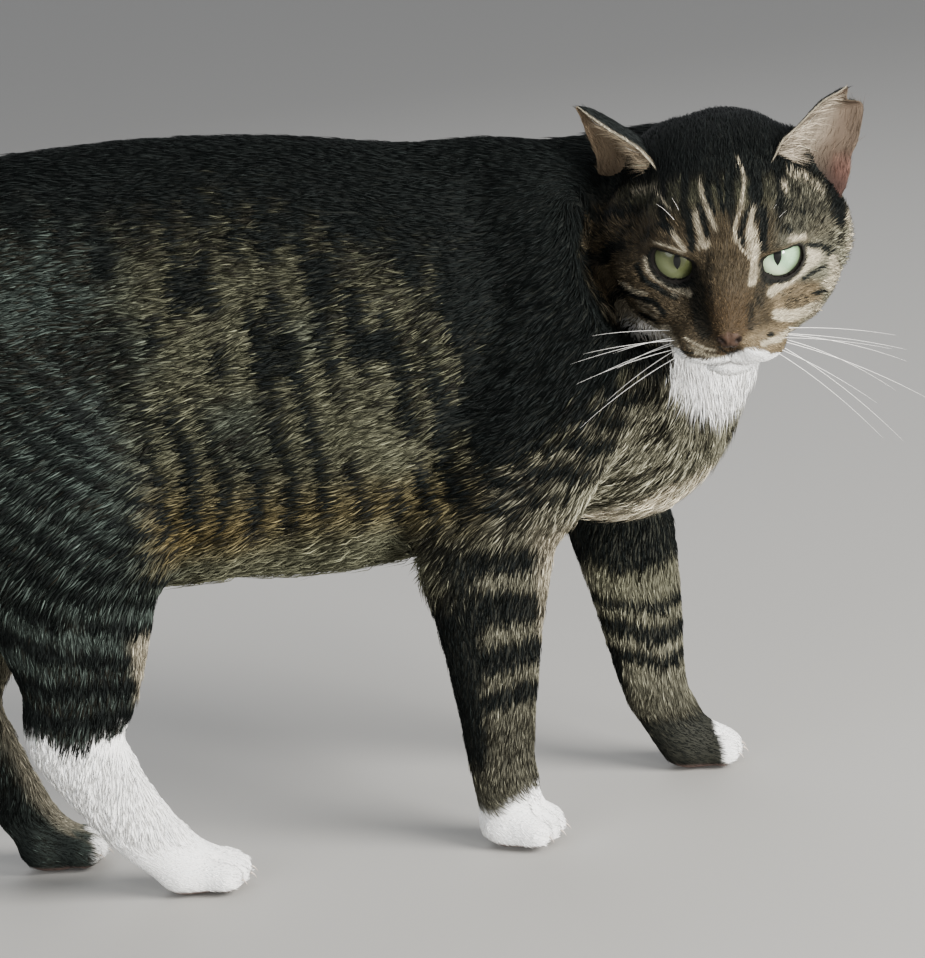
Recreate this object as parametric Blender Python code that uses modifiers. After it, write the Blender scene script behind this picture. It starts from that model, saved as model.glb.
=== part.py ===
# A standing domestic cat, life size, its head turned to its right.
# X runs from tail to chest, Y to the cat's left, Z up, and the soles stand on Z = 0.
# Bodily sizes are in centimetres here and become metres when a mesh is made.

import math

import bmesh
import bpy
from mathutils import Euler, Matrix, Vector

CM = 0.01
GAP = 0.03                    # clearance between neighbouring pieces, cm

# Faces kept on the two fused forms, and how finely each is fused
HEAD_FACES = 3300
BODY_FACES = 4700
HEAD_VOXEL = 0.10
SKULL_VOXEL = 0.20
BODY_VOXEL = 0.16
TRUNK_VOXEL = 0.42

# Trunk: place along X, top of the back, underline, half width
TRUNK = [
    (-6.9, 25.2, 18.2, 2.2),
    (-5.4, 26.8, 16.2, 4.0),
    (-3.2, 28.0, 14.8, 5.3),
    (-0.4, 28.8, 13.7, 6.0),
    (3.0, 29.0, 13.0, 6.2),
    (7.0, 28.9, 12.1, 6.5),
    (12.0, 28.3, 11.2, 6.6),
    (16.5, 27.5, 11.4, 6.1),
    (20.5, 27.2, 11.6, 5.2),
    (24.0, 25.6, 12.2, 4.3),
    (27.2, 22.0, 14.2, 3.0),
]

# Neck: centre, half width, half depth, running up to the back of the head
NECK = [
    ((18.5, 0.0, 19.8), 4.7, 6.4),
    ((22.5, 0.2, 20.8), 4.2, 6.1),
    ((25.8, -0.1, 21.7), 3.8, 5.4),
    ((27.9, -1.7, 22.5), 3.6, 4.7),
    ((28.4, -4.2, 23.0), 3.4, 4.0),
]

# Tail: centre line and half thickness, hanging in a loose S
TAIL = [
    ((-4.4, 0.0, 24.2), 2.0),
    ((-6.8, 0.0, 24.3), 1.75),
    ((-9.0, 0.0, 22.8), 1.58),
    ((-10.9, 0.1, 20.4), 1.48),
    ((-12.3, 0.3, 17.6), 1.4),
    ((-13.7, 0.6, 14.4), 1.35),
    ((-15.6, 1.0, 11.0), 1.3),
    ((-18.4, 1.4, 8.8), 1.2),
    ((-21.8, 1.7, 8.3), 1.12),
    ((-24.6, 1.9, 9.3), 1.0),
]

# Heights where the lower legs and the paws are parted
KNEE_LEVEL = 10.9
PAW_LEVEL = 3.1

# Head: where its middle is and how it is turned
HEAD_AT = (28.04, -5.2, 23.41)
HEAD_YAW = -104.1
HEAD_PITCH = -15.7
HEAD_ROLL = -4.2

# Eyes, in the head's own axes (X to the nose, Y to its left, Z up)
EYE_AT = (2.45, 1.77, 0.0)
EYE_RADIUS = 1.05
SOCKET_RADIUS = 1.09
LID_RADIUS = 1.26
LID_HALF_WIDTH = 0.80
UPPER_LID_RISE = 0.36
LOWER_LID_DROP = 0.66
LID_SLANT = 16.0
EYE_TURN = 13.0
LIP_GROOVE = 0.085
NOSE_GROOVE = 0.065

# Ears, in the head's axes: the inner and the outer edge, each from root to tip.
# The left ear has an old nick below its tip.
LEFT_EAR = (
    ((1.10, 1.80, 3.10), (0.52, 2.14, 3.50), (-0.22, 2.72, 3.75),
     (-1.45, 3.60, 4.12), (-2.20, 4.26, 4.20), (-2.60, 4.58, 4.25)),
    ((-0.91, 4.48, 0.96), (-1.45, 4.62, 1.75), (-2.20, 5.00, 2.35),
     (-2.90, 5.20, 3.37), (-2.48, 4.62, 3.78), (-2.66, 4.64, 4.16)),
)
RIGHT_EAR = (
    ((0.64, -2.45, 2.43), (0.18, -2.85, 2.77), (-0.38, -3.31, 3.04),
     (-1.58, -4.26, 3.20), (-2.53, -5.02, 3.40), (-3.16, -5.53, 3.60)),
    ((-2.51, -4.64, 0.70), (-2.56, -4.76, 1.40), (-2.69, -4.97, 2.05),
     (-2.95, -5.22, 2.60), (-3.08, -5.38, 3.10), (-3.20, -5.58, 3.50)),
)
EAR_CUP = 1.15
EAR_THICKNESS = 0.19
EAR_STEPS = 3
EAR_COLUMNS = 12

# Colours seen on the coat
TABBY_COAT = (0.17, 0.145, 0.105, 1.0)
DARK_COAT = (0.06, 0.055, 0.05, 1.0)
WHITE_COAT = (0.80, 0.78, 0.74, 1.0)
EAR_SKIN = (0.42, 0.30, 0.26, 1.0)
EYE_COLOUR = (0.42, 0.55, 0.38, 1.0)
DARK_PIECES = ("foreleg_left_paw", "hindleg_left_lower", "hindleg_left_paw")
WHITE_PIECES = ("foreleg_right_paw", "hindleg_right_lower", "hindleg_right_paw")


def head_matrix():
    turn = Euler((math.radians(HEAD_ROLL), math.radians(-HEAD_PITCH), math.radians(HEAD_YAW)), "XYZ")
    return Matrix.Translation(Vector(HEAD_AT)) @ turn.to_matrix().to_4x4()


def ball(at, radii, turn=(0.0, 0.0, 0.0), segments=32, frame=Matrix.Identity(4)):
    # An ellipsoid, turned by X, Y, Z angles in degrees, in the axes of frame
    angles = Euler([math.radians(a) for a in turn], "XYZ").to_matrix().to_4x4()
    shape = bmesh.new()
    bmesh.ops.create_uvsphere(shape, u_segments=segments, v_segments=segments // 2, radius=1.0)
    place = frame @ Matrix.Translation(Vector(at)) @ angles @ Matrix.Diagonal((*radii, 1.0))
    shape.transform(place)
    return shape


def box(at, size, turn=(0.0, 0.0, 0.0), frame=Matrix.Identity(4)):
    angles = Euler([math.radians(a) for a in turn], "XYZ").to_matrix().to_4x4()
    shape = bmesh.new()
    bmesh.ops.create_cube(shape, size=1.0)
    shape.transform(frame @ Matrix.Translation(Vector(at)) @ angles @ Matrix.Diagonal((*size, 1.0)))
    return shape


def smooth_path(values, steps):
    # Values read along a Catmull-Rom curve through the given tuples
    ends = [values[0]] + list(values) + [values[-1]]
    path = []
    for i in range(1, len(ends) - 2):
        a, b, c, d = ends[i - 1], ends[i], ends[i + 1], ends[i + 2]
        count = steps + 1 if i == len(ends) - 3 else steps
        for k in range(count):
            t = k / steps
            path.append([
                0.5 * (2 * q + (r - p) * t + (2 * p - 5 * q + 4 * r - s) * t * t
                       + (3 * q - p - 3 * r + s) * t ** 3)
                for p, q, r, s in zip(a, b, c, d)
            ])
    return path


def limb(stations, steps=5, sides=20, across=(0.0, 1.0, 0.0), level=False, frame=Matrix.Identity(4)):
    # A limb lofted through (centre, half width, half depth), with rounded ends.
    # Its width runs along across, or level and square to its run.
    rows = smooth_path([(*at, wide, deep) for at, wide, deep in stations], steps)
    centres = [Vector(row[:3]) for row in rows]
    rings = []
    for i, row in enumerate(rows):
        ahead = (centres[min(i + 1, len(rows) - 1)] - centres[max(i - 1, 0)]).normalized()
        reach = Vector((-ahead.y, ahead.x, 0.0)) if level else Vector(across)
        side = (reach - ahead * ahead.dot(reach)).normalized()
        up = ahead.cross(side)
        rings.append((centres[i], ahead, side * row[3], up * row[4]))
    capped = []
    for angle in (75, 50, 25):
        at, ahead, side, up = rings[0]
        lean = math.radians(angle)
        back = ahead * math.sin(lean) * min(side.length, up.length)
        capped.append((at - back, ahead, side * math.cos(lean), up * math.cos(lean)))
    capped += rings
    for angle in (25, 50, 75):
        at, ahead, side, up = rings[-1]
        lean = math.radians(angle)
        forth = ahead * math.sin(lean) * min(side.length, up.length)
        capped.append((at + forth, ahead, side * math.cos(lean), up * math.cos(lean)))
    shape = bmesh.new()
    loops = []
    for at, ahead, side, up in capped:
        turns = [2 * math.pi * k / sides for k in range(sides)]
        loops.append([shape.verts.new(frame @ (at + side * math.cos(t) + up * math.sin(t))) for t in turns])
    for near, far in zip(loops, loops[1:]):
        for k in range(sides):
            n = (k + 1) % sides
            shape.faces.new((near[k], far[k], far[n], near[n]))
    shape.faces.new(loops[0])
    shape.faces.new(list(reversed(loops[-1])))
    bmesh.ops.recalc_face_normals(shape, faces=shape.faces)
    return shape


def round_limb(stations, **settings):
    return limb([(at, size, size) for at, size in stations], **settings)


def new_object(name, mesh):
    made = bpy.data.objects.new(name, mesh)
    bpy.context.scene.collection.objects.link(made)
    return made


def object_from(name, shapes):
    # One object, in metres, that holds every given shape
    mesh = bpy.data.meshes.new(name)
    whole = bmesh.new()
    for shape in shapes:
        part = bpy.data.meshes.new("part")
        shape.to_mesh(part)
        shape.free()
        whole.from_mesh(part)
        bpy.data.meshes.remove(part)
    whole.transform(Matrix.Scale(CM, 4))
    whole.to_mesh(mesh)
    whole.free()
    return new_object(name, mesh)


def applied(made):
    # The object with its modifiers turned into its mesh
    bpy.context.view_layer.update()
    seen = made.evaluated_get(bpy.context.evaluated_depsgraph_get())
    mesh = bpy.data.meshes.new_from_object(seen)
    made.modifiers.clear()
    made.data = mesh
    return made


def fuse(made, voxel, smoothing):
    remesh = made.modifiers.new("fuse", "REMESH")
    remesh.mode = "VOXEL"
    remesh.voxel_size = voxel * CM
    soften = made.modifiers.new("soften", "SMOOTH")
    soften.factor = 0.5
    soften.iterations = smoothing
    return applied(made)


def thin_out(made, faces):
    fewer = made.modifiers.new("fewer", "DECIMATE")
    triangles = sum(len(face.vertices) - 2 for face in made.data.polygons)
    fewer.ratio = min(1.0, faces / triangles)
    return applied(made)


def bmesh_of(made):
    shape = bmesh.new()
    shape.from_mesh(made.data)
    shape.transform(Matrix.Scale(1.0 / CM, 4))
    return shape


def cut(made, tool, how):
    # Boolean of the object with a closed tool shape, which it uses up
    cutter = object_from("cutter", [tool])
    change = made.modifiers.new("cut", "BOOLEAN")
    change.operation = how
    change.object = cutter
    applied(made)
    bpy.data.objects.remove(cutter)
    return made


def loose_sets(shape):
    # The groups of vertices that hang together
    left = set(shape.verts)
    groups = []
    while left:
        found = {left.pop()}
        edge = list(found)
        while edge:
            vert = edge.pop()
            for line in vert.link_edges:
                other = line.other_vert(vert)
                if other in left:
                    left.discard(other)
                    found.add(other)
                    edge.append(other)
        groups.append(found)
    return groups


def keep_only(made, choose):
    # Keeps the one loose part that choose picks out
    shape = bmesh.new()
    shape.from_mesh(made.data)
    kept = choose(loose_sets(shape))
    bmesh.ops.delete(shape, geom=[v for v in shape.verts if v not in kept], context="VERTS")
    shape.to_mesh(made.data)
    shape.free()
    return made


def keep_largest(made):
    return keep_only(made, lambda groups: max(groups, key=len))


def loose_part(whole, name, near):
    # A copy of the loose part whose middle lies nearest a place
    def apart(group):
        middle = sum((v.co for v in group), Vector()) / len(group)
        return (middle / CM - Vector(near)).length

    piece = new_object(name, whole.data.copy())
    return keep_only(piece, lambda groups: min((g for g in groups if len(g) > 60), key=apart))


def part_off(whole, name, region):
    # Takes what lies in the region from the whole, and leaves the gap between them
    piece = new_object(name, whole.data.copy())
    cut(piece, region(0.0), "INTERSECT")
    cut(whole, region(GAP), "DIFFERENCE")
    return keep_largest(piece)


def oval_region(at, radii, turn=(0.0, 0.0, 0.0), frame=Matrix.Identity(4)):
    return lambda grow: ball(at, [r + grow for r in radii], turn, 28, frame)


def slab_region(at, size, turn=(0.0, 0.0, 0.0), frame=Matrix.Identity(4)):
    return lambda grow: box(at, [s + 2 * grow for s in size], turn, frame)


def trunk_shapes():
    stations = []
    for x, top, bottom, half in TRUNK:
        stations.append(((x, 0.0, (top + bottom) / 2), half, (top - bottom) / 2))
    shapes = [limb(stations, sides=36), limb(NECK, sides=32, level=True)]
    shapes.append(ball((24.4, 0.1, 16.9), (4.9, 4.5, 5.4), (0, 20, 0)))
    shapes.append(ball((7.5, 0.0, 16.2), (7.5, 5.9, 4.6)))
    # Shoulder blades and upper arms
    shapes.append(limb([((20.0, -2.8, 24.2), 1.9, 2.6), ((21.4, -4.2, 20.2), 2.3, 3.5),
                        ((19.5, -4.6, 16.0), 2.2, 3.5), ((17.8, -4.5, 12.9), 1.9, 2.8)]))
    shapes.append(limb([((21.0, 2.8, 24.2), 1.9, 2.6), ((23.4, 4.0, 20.4), 2.3, 3.4),
                        ((23.9, 4.2, 16.2), 2.1, 3.1), ((23.8, 4.0, 12.6), 1.8, 2.6)]))
    # Haunches and thighs
    shapes.append(limb([((-3.4, -3.2, 22.4), 2.6, 3.4), ((-0.6, -4.0, 20.0), 2.9, 5.4),
                        ((1.6, -4.3, 16.2), 2.6, 4.9), ((1.9, -4.2, 12.8), 2.1, 3.9)]))
    shapes.append(limb([((-3.4, 3.2, 22.4), 2.6, 3.4), ((-2.4, 4.0, 20.0), 2.8, 5.0),
                        ((-1.2, 4.1, 16.0), 2.5, 4.5), ((-1.8, 3.8, 12.8), 2.0, 3.6)]))
    return shapes


def toes(at, turn, half_width, reach):
    # Four toes fanned round the front of a foot, over its pads
    frame = Matrix.Translation(Vector(at)) @ Matrix.Rotation(math.radians(turn), 4, "Z")
    shapes = [ball((-0.2, 0.0, 0.95), (1.55, half_width * 0.92, 1.2), frame=frame)]
    for k, (spread, ahead) in enumerate(((-0.72, -0.22), (-0.25, 0.08), (0.25, 0.08), (0.72, -0.22))):
        toe = (reach + ahead, spread * half_width * 1.02, 0.72)
        shapes.append(ball(toe, (0.92, 0.47, 0.78), (0, 12, spread * 22), frame=frame))
    return shapes


def leg_shapes():
    shapes = []
    # Near foreleg, the cat's right, straight under the shoulder
    shapes.append(limb([((17.9, -4.5, 13.6), 1.9, 3.0), ((17.7, -4.3, 11.2), 1.75, 2.6),
                        ((17.65, -4.0, 8.8), 1.5, 2.1), ((17.6, -3.7, 6.2), 1.35, 1.7),
                        ((17.55, -3.4, 3.8), 1.25, 1.42), ((17.7, -3.3, 1.9), 1.30, 1.40)]))
    shapes += toes((18.0, -3.3, 0.0), -24.0, 1.5, 0.95)
    # Far foreleg, a little in front
    shapes.append(limb([((24.0, 3.9, 13.0), 1.8, 2.6), ((24.4, 3.7, 10.6), 1.7, 2.3),
                        ((24.7, 3.4, 8.0), 1.45, 2.0), ((24.85, 3.2, 5.6), 1.3, 1.68),
                        ((25.05, 3.0, 3.5), 1.2, 1.42), ((25.8, 3.0, 1.7), 1.25, 1.3)]))
    shapes += toes((26.6, 3.0, 0.0), -6.0, 1.45, 1.0)
    # Near hind leg, under the body
    shapes.append(limb([((1.9, -4.2, 13.4), 2.1, 3.9), ((2.0, -4.0, 11.0), 1.85, 3.0),
                        ((1.85, -3.8, 8.8), 1.55, 2.35), ((1.4, -3.6, 7.2), 1.35, 1.95),
                        ((2.35, -3.4, 4.9), 1.2, 1.6), ((3.45, -3.1, 2.9), 1.2, 1.42),
                        ((4.6, -2.9, 1.6), 1.3, 1.25)]))
    shapes += toes((5.4, -2.9, 0.0), -8.0, 1.5, 1.25)
    # Far hind leg, behind
    shapes.append(limb([((-1.6, 3.8, 13.2), 2.0, 3.4), ((-2.2, 3.5, 10.6), 1.75, 2.6),
                        ((-2.6, 3.1, 8.6), 1.5, 2.1), ((-2.7, 2.8, 7.0), 1.3, 1.6),
                        ((-1.8, 2.7, 4.6), 1.15, 1.35), ((-1.0, 2.6, 2.6), 1.15, 1.25),
                        ((-0.3, 2.6, 1.5), 1.25, 1.2)]))
    shapes += toes((0.2, 2.6, 0.0), -4.0, 1.45, 1.15)
    return shapes


def make_skull():
    # The broad forms of the head, softened into one
    frame = head_matrix()
    shapes = [
        ball((-0.7, 0.0, 0.75), (4.1, 3.3, 3.3), frame=frame),
        ball((1.5, 0.0, 0.9), (2.6, 3.0, 2.3), frame=frame),
        ball((1.4, 0.0, -2.6), (3.1, 2.6, 1.75), frame=frame),
        ball((-1.3, -1.75, 2.05), (2.1, 1.6, 1.55), frame=frame),
    ]
    for side in (-1, 1):
        shapes += [
            ball((-0.6, 2.85 * side, -0.6), (2.5, 1.85, 2.2), frame=frame),
            ball((1.1, 2.45 * side, -1.1), (2.2, 1.8, 1.9), frame=frame),
            ball((0.4, 2.15 * side, -2.3), (2.25, 1.7, 1.6), frame=frame),
            ball((-2.3, 2.4 * side, 1.3), (1.6, 1.45, 1.5), frame=frame),
            ball((2.6, 1.8 * side, -2.0), (1.6, 1.35, 1.25), frame=frame),
        ]
    return fuse(object_from("skull", shapes), SKULL_VOXEL, 14)


def head_shapes(skull):
    frame = head_matrix()
    shapes = [
        bmesh_of(skull),
        ball((3.2, 0.0, -2.1), (2.0, 1.95, 1.7), frame=frame),
        ball((4.15, 0.0, -3.45), (1.0, 1.0, 0.75), frame=frame),
        round_limb([((2.4, 0.0, 0.75), 1.25), ((3.7, 0.0, -0.15), 1.05),
                    ((4.9, 0.0, -1.25), 0.86), ((5.25, 0.0, -1.65), 0.72)], frame=frame),
        ball((5.55, 0.0, -1.9), (0.52, 0.62, 0.46), frame=frame),
    ]
    for side in (-1, 1):
        shapes += [
            ball((4.35, 0.98 * side, -2.55), (1.35, 1.2, 0.92), (0, 0, 12 * side), frame=frame),
            ball((2.9, 1.75 * side, 1.05), (1.05, 1.25, 0.55), (0, 18, 20 * side), frame=frame),
            ball((EYE_AT[0], EYE_AT[1] * side, EYE_AT[2]), [LID_RADIUS] * 3, frame=frame),
        ]
    return shapes


def lid_opening(side):
    # The gap between the lids: nearly straight above, round below
    outline = []
    count = 14
    for k in range(count):
        t = math.pi * k / (count - 1)
        outline.append((LID_HALF_WIDTH * math.cos(t), UPPER_LID_RISE * abs(math.sin(t)) ** 0.8))
    for k in range(1, count - 1):
        t = math.pi + math.pi * k / (count - 1)
        outline.append((LID_HALF_WIDTH * math.cos(t), LOWER_LID_DROP * math.sin(t)))
    shape = bmesh.new()
    near = [shape.verts.new((0.35, y, z)) for y, z in outline]
    far = [shape.verts.new((2.4, 1.3 * y, 1.3 * z)) for y, z in outline]
    shape.faces.new(near)
    shape.faces.new(list(reversed(far)))
    for k in range(len(outline)):
        n = (k + 1) % len(outline)
        shape.faces.new((near[k], far[k], far[n], near[n]))
    bmesh.ops.recalc_face_normals(shape, faces=shape.faces)
    place = Matrix.Translation((EYE_AT[0], EYE_AT[1] * side, EYE_AT[2]))
    place = place @ Matrix.Rotation(math.radians(EYE_TURN * side), 4, "Z")
    place = place @ Matrix.Rotation(math.radians(LID_SLANT * side), 4, "X")
    shape.transform(head_matrix() @ place)
    return shape


def skin_point(made, start, aim):
    # Where a ray given in the head's axes meets the skin, in the same axes
    frame = head_matrix()
    origin = frame @ Vector(start)
    heading = (frame @ Vector(aim)) - origin
    hit, at, normal, face = made.ray_cast(origin * CM, heading.normalized())
    return frame.inverted() @ (at / CM)


def mouth_lines(made):
    # Grooves of the mouth and of the fold below the nose
    lip = []
    for k in range(-9, 10):
        angle = math.radians(8.6 * k)
        drop = -3.28 - 0.2 * math.sin(min(abs(k) / 6.0, 1.0) * math.pi) + 0.045 * max(0, abs(k) - 5)
        start = (3.1 + 6.0 * math.cos(angle), 6.0 * math.sin(angle), drop)
        lip.append(skin_point(made, start, (3.1, 0.0, drop)))
    fold = [skin_point(made, (9.0, 0.0, z), (0.0, 0.0, z)) for z in (-2.3, -2.6, -2.9, -3.2)]
    frame = head_matrix()
    grooves = []
    for points, size in ((lip, LIP_GROOVE), (fold, NOSE_GROOVE)):
        line = [((*p,), size) for p in points]
        grooves.append(round_limb(line, steps=1, sides=6, across=(1.0, 0.1, 0.2), frame=frame))
    return grooves


def nostril(side):
    return ball((6.0, 0.3 * side, -1.97), (0.26, 0.13, 0.17), (0, 0, 35 * side), 16, head_matrix())


def make_plain_head(skull):
    head = object_from("head", head_shapes(skull) + [limb(NECK, sides=32, level=True)])
    fuse(head, HEAD_VOXEL, 9)
    return thin_out(head, HEAD_FACES)


def carve_head(head):
    # Eye sockets, lids, nostrils and the lines of the mouth
    grooves = mouth_lines(head)
    cut(head, head_region()(0.0), "INTERSECT")
    for side in (-1, 1):
        centre = (EYE_AT[0], EYE_AT[1] * side, EYE_AT[2])
        cut(head, ball(centre, [SOCKET_RADIUS] * 3, segments=20, frame=head_matrix()), "DIFFERENCE")
        cut(head, lid_opening(side), "DIFFERENCE")
        cut(head, nostril(side), "DIFFERENCE")
    for groove in grooves:
        cut(head, groove, "DIFFERENCE")
    return keep_largest(head)


def head_region():
    return oval_region((0.9, 0.0, 0.0), (6.5, 5.6, 5.2), (0, 12, 0), head_matrix())


def make_eye(name, side):
    centre = (EYE_AT[0], EYE_AT[1] * side, EYE_AT[2])
    frame = head_matrix() @ Matrix.Rotation(math.radians(90), 4, "Y")
    at = frame.inverted() @ (head_matrix() @ Vector(centre))
    return object_from(name, [ball(at, [EYE_RADIUS] * 3, segments=20, frame=frame)])


def cut_clear(made, neighbour):
    # Cuts the object back to the gap from its neighbour's surface
    grown = new_object("grown", neighbour.data.copy())
    swell = grown.modifiers.new("swell", "DISPLACE")
    swell.strength = GAP * CM
    swell.mid_level = 0.0
    applied(grown)
    cut(made, bmesh_of(grown), "DIFFERENCE")
    bpy.data.objects.remove(grown)


def make_ear(name, edges, neighbours):
    # A cupped shell between its inner and its outer edge
    inner, outer = [[Vector(row) for row in smooth_path(edge, EAR_STEPS)] for edge in edges]
    half = (outer[0] - inner[0]) / 2
    back = (inner[-1] - (inner[0] + outer[0]) / 2).cross(half).normalized()
    if back.x > 0:
        back = -back
    # The shell runs on below its roots, into the head
    sink = (inner[0] - inner[1]) * 1.2
    inner.insert(0, inner[0] + sink)
    outer.insert(0, outer[0] + sink)
    shape = bmesh.new()
    grid = []
    for i, (a, b) in enumerate(zip(inner, outer)):
        rise = max(i - 1, 0) / (len(inner) - 2)
        cup = EAR_CUP * (1.0 - rise * rise) ** 0.75
        row = []
        for j in range(EAR_COLUMNS + 1):
            t = j / EAR_COLUMNS
            row.append(shape.verts.new(a.lerp(b, t) + back * cup * 4.0 * t * (1.0 - t)))
        grid.append(row)
    for near, far in zip(grid, grid[1:]):
        for a, b, c, d in zip(near, near[1:], far[1:], far):
            shape.faces.new((a, b, c, d))
    bmesh.ops.recalc_face_normals(shape, faces=shape.faces)
    shape.transform(head_matrix())
    ear = object_from(name, [shape])
    shell = ear.modifiers.new("thickness", "SOLIDIFY")
    shell.thickness = EAR_THICKNESS * CM
    shell.offset = 0.0
    applied(ear)
    for neighbour in neighbours:
        cut_clear(ear, neighbour)
    return keep_largest(ear)


def make_body(skull):
    trunk = fuse(object_from("trunk", trunk_shapes()), TRUNK_VOXEL, 12)
    shapes = [bmesh_of(trunk)] + leg_shapes() + head_shapes(skull)
    shapes.append(round_limb(TAIL, sides=18))
    bpy.data.objects.remove(trunk)
    body = fuse(object_from("torso", shapes), BODY_VOXEL, 6)
    thin_out(body, BODY_FACES)
    cut(body, box((5.0, 0.0, -5.0), (90.0, 60.0, 10.0)), "DIFFERENCE")
    cut(body, head_region()(GAP), "DIFFERENCE")
    return body


def make_pieces():
    skull = make_skull()
    plain_head = make_plain_head(skull)
    body = make_body(skull)
    bpy.data.objects.remove(skull)
    pieces = [
        make_ear("ear_left", LEFT_EAR, [plain_head, body]),
        make_ear("ear_right", RIGHT_EAR, [plain_head, body]),
        make_eye("eye_left", 1),
        make_eye("eye_right", -1),
        carve_head(plain_head),
    ]
    upper = {
        "foreleg_right": oval_region((19.4, -4.8, 17.4), (4.9, 3.9, 8.6)),
        "foreleg_left": oval_region((23.4, 4.6, 17.2), (4.7, 3.8, 8.6)),
        "hindleg_right": oval_region((0.9, -4.9, 17.0), (6.9, 4.1, 8.0)),
        "hindleg_left": oval_region((-1.6, 4.9, 17.0), (6.6, 4.1, 8.0)),
    }
    lower = {
        "foreleg_right": (17.7, -3.7, 6.0), "foreleg_left": (25.0, 3.3, 6.0),
        "hindleg_right": (2.4, -3.5, 6.0), "hindleg_left": (-1.8, 2.9, 6.0),
    }
    tail = part_off(body, "tail_base", slab_region((-28.9, 0.0, 15.0), (40.0, 20.0, 40.0)))
    middle = part_off(tail, "tail_middle", slab_region((-25.0, 0.0, 6.2), (60.0, 20.0, 20.0), (0, 20, 0)))
    tip = part_off(middle, "tail_tip", slab_region((-33.6, 0.0, 10.0), (30.0, 20.0, 20.0)))
    pieces += [keep_largest(tail), keep_largest(middle), tip]
    legs = new_object("legs", body.data.copy())
    below = slab_region((0.0, 0.0, KNEE_LEVEL - 20.0), (90.0, 60.0, 40.0))
    cut(legs, below(0.0), "INTERSECT")
    cut(body, below(GAP), "DIFFERENCE")
    for leg, near in lower.items():
        shin = loose_part(legs, leg + "_lower", near)
        paw = part_off(shin, leg + "_paw", slab_region((near[0], near[1], PAW_LEVEL - 10.0), (30.0, 30.0, 20.0)))
        pieces += [keep_largest(shin), paw]
    bpy.data.objects.remove(legs)
    for leg, region in upper.items():
        pieces.append(part_off(body, leg + "_upper", region))
    keep_largest(body)
    neck = part_off(body, "neck", slab_region((42.4, 0.0, 28.0), (40.0, 40.0, 50.0), (0, -25, 0)))
    pieces += [neck, keep_largest(body)]
    return pieces


def finish_material(made, colour, roughness):
    look = bpy.data.materials.new(made.name)
    look.use_nodes = True
    shader = look.node_tree.nodes["Principled BSDF"]
    shader.inputs["Base Color"].default_value = colour
    shader.inputs["Roughness"].default_value = roughness
    shader.inputs["Metallic"].default_value = 0.0
    made.data.materials.clear()
    made.data.materials.append(look)
    made.data.shade_smooth()
    made.data.set_sharp_from_angle(angle=math.radians(50))


def main():
    for old in list(bpy.data.objects):
        bpy.data.objects.remove(old)
    pieces = make_pieces()
    corners = [v.co for piece in pieces for v in piece.data.vertices]
    low = Vector([min(c[i] for c in corners) for i in range(3)])
    high = Vector([max(c[i] for c in corners) for i in range(3)])
    shift = -(low + high) / 2
    shift.z = 0.0
    group = bpy.data.collections.new("domestic_cat")
    bpy.context.scene.collection.children.link(group)
    for piece in pieces:
        piece.data.transform(Matrix.Translation(shift))
        group.objects.link(piece)
        bpy.context.scene.collection.objects.unlink(piece)
        if piece.name.startswith("eye"):
            finish_material(piece, EYE_COLOUR, 0.08)
        elif piece.name.startswith("ear"):
            finish_material(piece, EAR_SKIN, 0.8)
        elif piece.name in WHITE_PIECES:
            finish_material(piece, WHITE_COAT, 0.9)
        elif piece.name in DARK_PIECES or piece.name.startswith("tail"):
            finish_material(piece, DARK_COAT, 0.9)
        else:
            finish_material(piece, TABBY_COAT, 0.9)
    return shift


if __name__ == "__main__":
    main()
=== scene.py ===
import math
import bpy
import bmesh
import numpy as np
from mathutils import Euler, Matrix, Vector, kdtree


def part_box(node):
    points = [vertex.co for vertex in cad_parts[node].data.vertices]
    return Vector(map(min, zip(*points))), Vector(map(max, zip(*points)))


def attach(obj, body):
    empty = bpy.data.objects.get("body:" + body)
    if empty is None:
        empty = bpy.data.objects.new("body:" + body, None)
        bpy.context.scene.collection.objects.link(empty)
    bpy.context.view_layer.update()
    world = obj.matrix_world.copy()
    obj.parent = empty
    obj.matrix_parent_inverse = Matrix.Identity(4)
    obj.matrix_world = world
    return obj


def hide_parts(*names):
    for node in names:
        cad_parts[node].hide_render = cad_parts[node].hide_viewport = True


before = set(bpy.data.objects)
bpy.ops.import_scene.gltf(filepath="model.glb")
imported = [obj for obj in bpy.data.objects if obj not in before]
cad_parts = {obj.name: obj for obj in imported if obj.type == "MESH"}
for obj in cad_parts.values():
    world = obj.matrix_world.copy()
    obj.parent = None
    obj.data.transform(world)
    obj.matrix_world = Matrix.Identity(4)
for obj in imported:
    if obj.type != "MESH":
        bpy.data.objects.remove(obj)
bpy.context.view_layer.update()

cm = 0.01

# Where the head sits in the cat's own measures, in centimetres and degrees
headPlace = {
    "centre": (28.04, -5.2, 23.41),
    "roll": -4.2,
    "pitch": -15.7,
    "yaw": -104.1,
    "eye": (2.45, 1.77, 0.0),
    "eyeRadius": 1.05,
}

headTurn = np.array(Euler((
    math.radians(headPlace["roll"]),
    math.radians(-headPlace["pitch"]),
    math.radians(headPlace["yaw"])), "XYZ").to_matrix())
eyeCorners = np.array([[tuple(corner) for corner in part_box(name)] for name in ("eye_left", "eye_right")])
betweenEyes = np.array((headPlace["eye"][0], 0, headPlace["eye"][2]))
headAt = eyeCorners.mean(axis=(0, 1)) - headTurn @ betweenEyes * cm
catAt = headAt - np.array(headPlace["centre"]) * cm


def toHead(points):
    return ((points - headAt) @ headTurn) / cm


def fromHead(points):
    return (np.asarray(points, float) * cm) @ headTurn.T + headAt


def toCat(points):
    return (points - catAt) / cm


def fromCat(points):
    return np.asarray(points, float) * cm + catAt


def ease(value, low, high):
    t = np.clip((value - low) / (high - low), 0.0, 1.0)
    return t * t * (3.0 - 2.0 * t)


def unit(vectors):
    return vectors / np.maximum(np.linalg.norm(vectors, axis=-1, keepdims=True), 1e-9)


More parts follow.
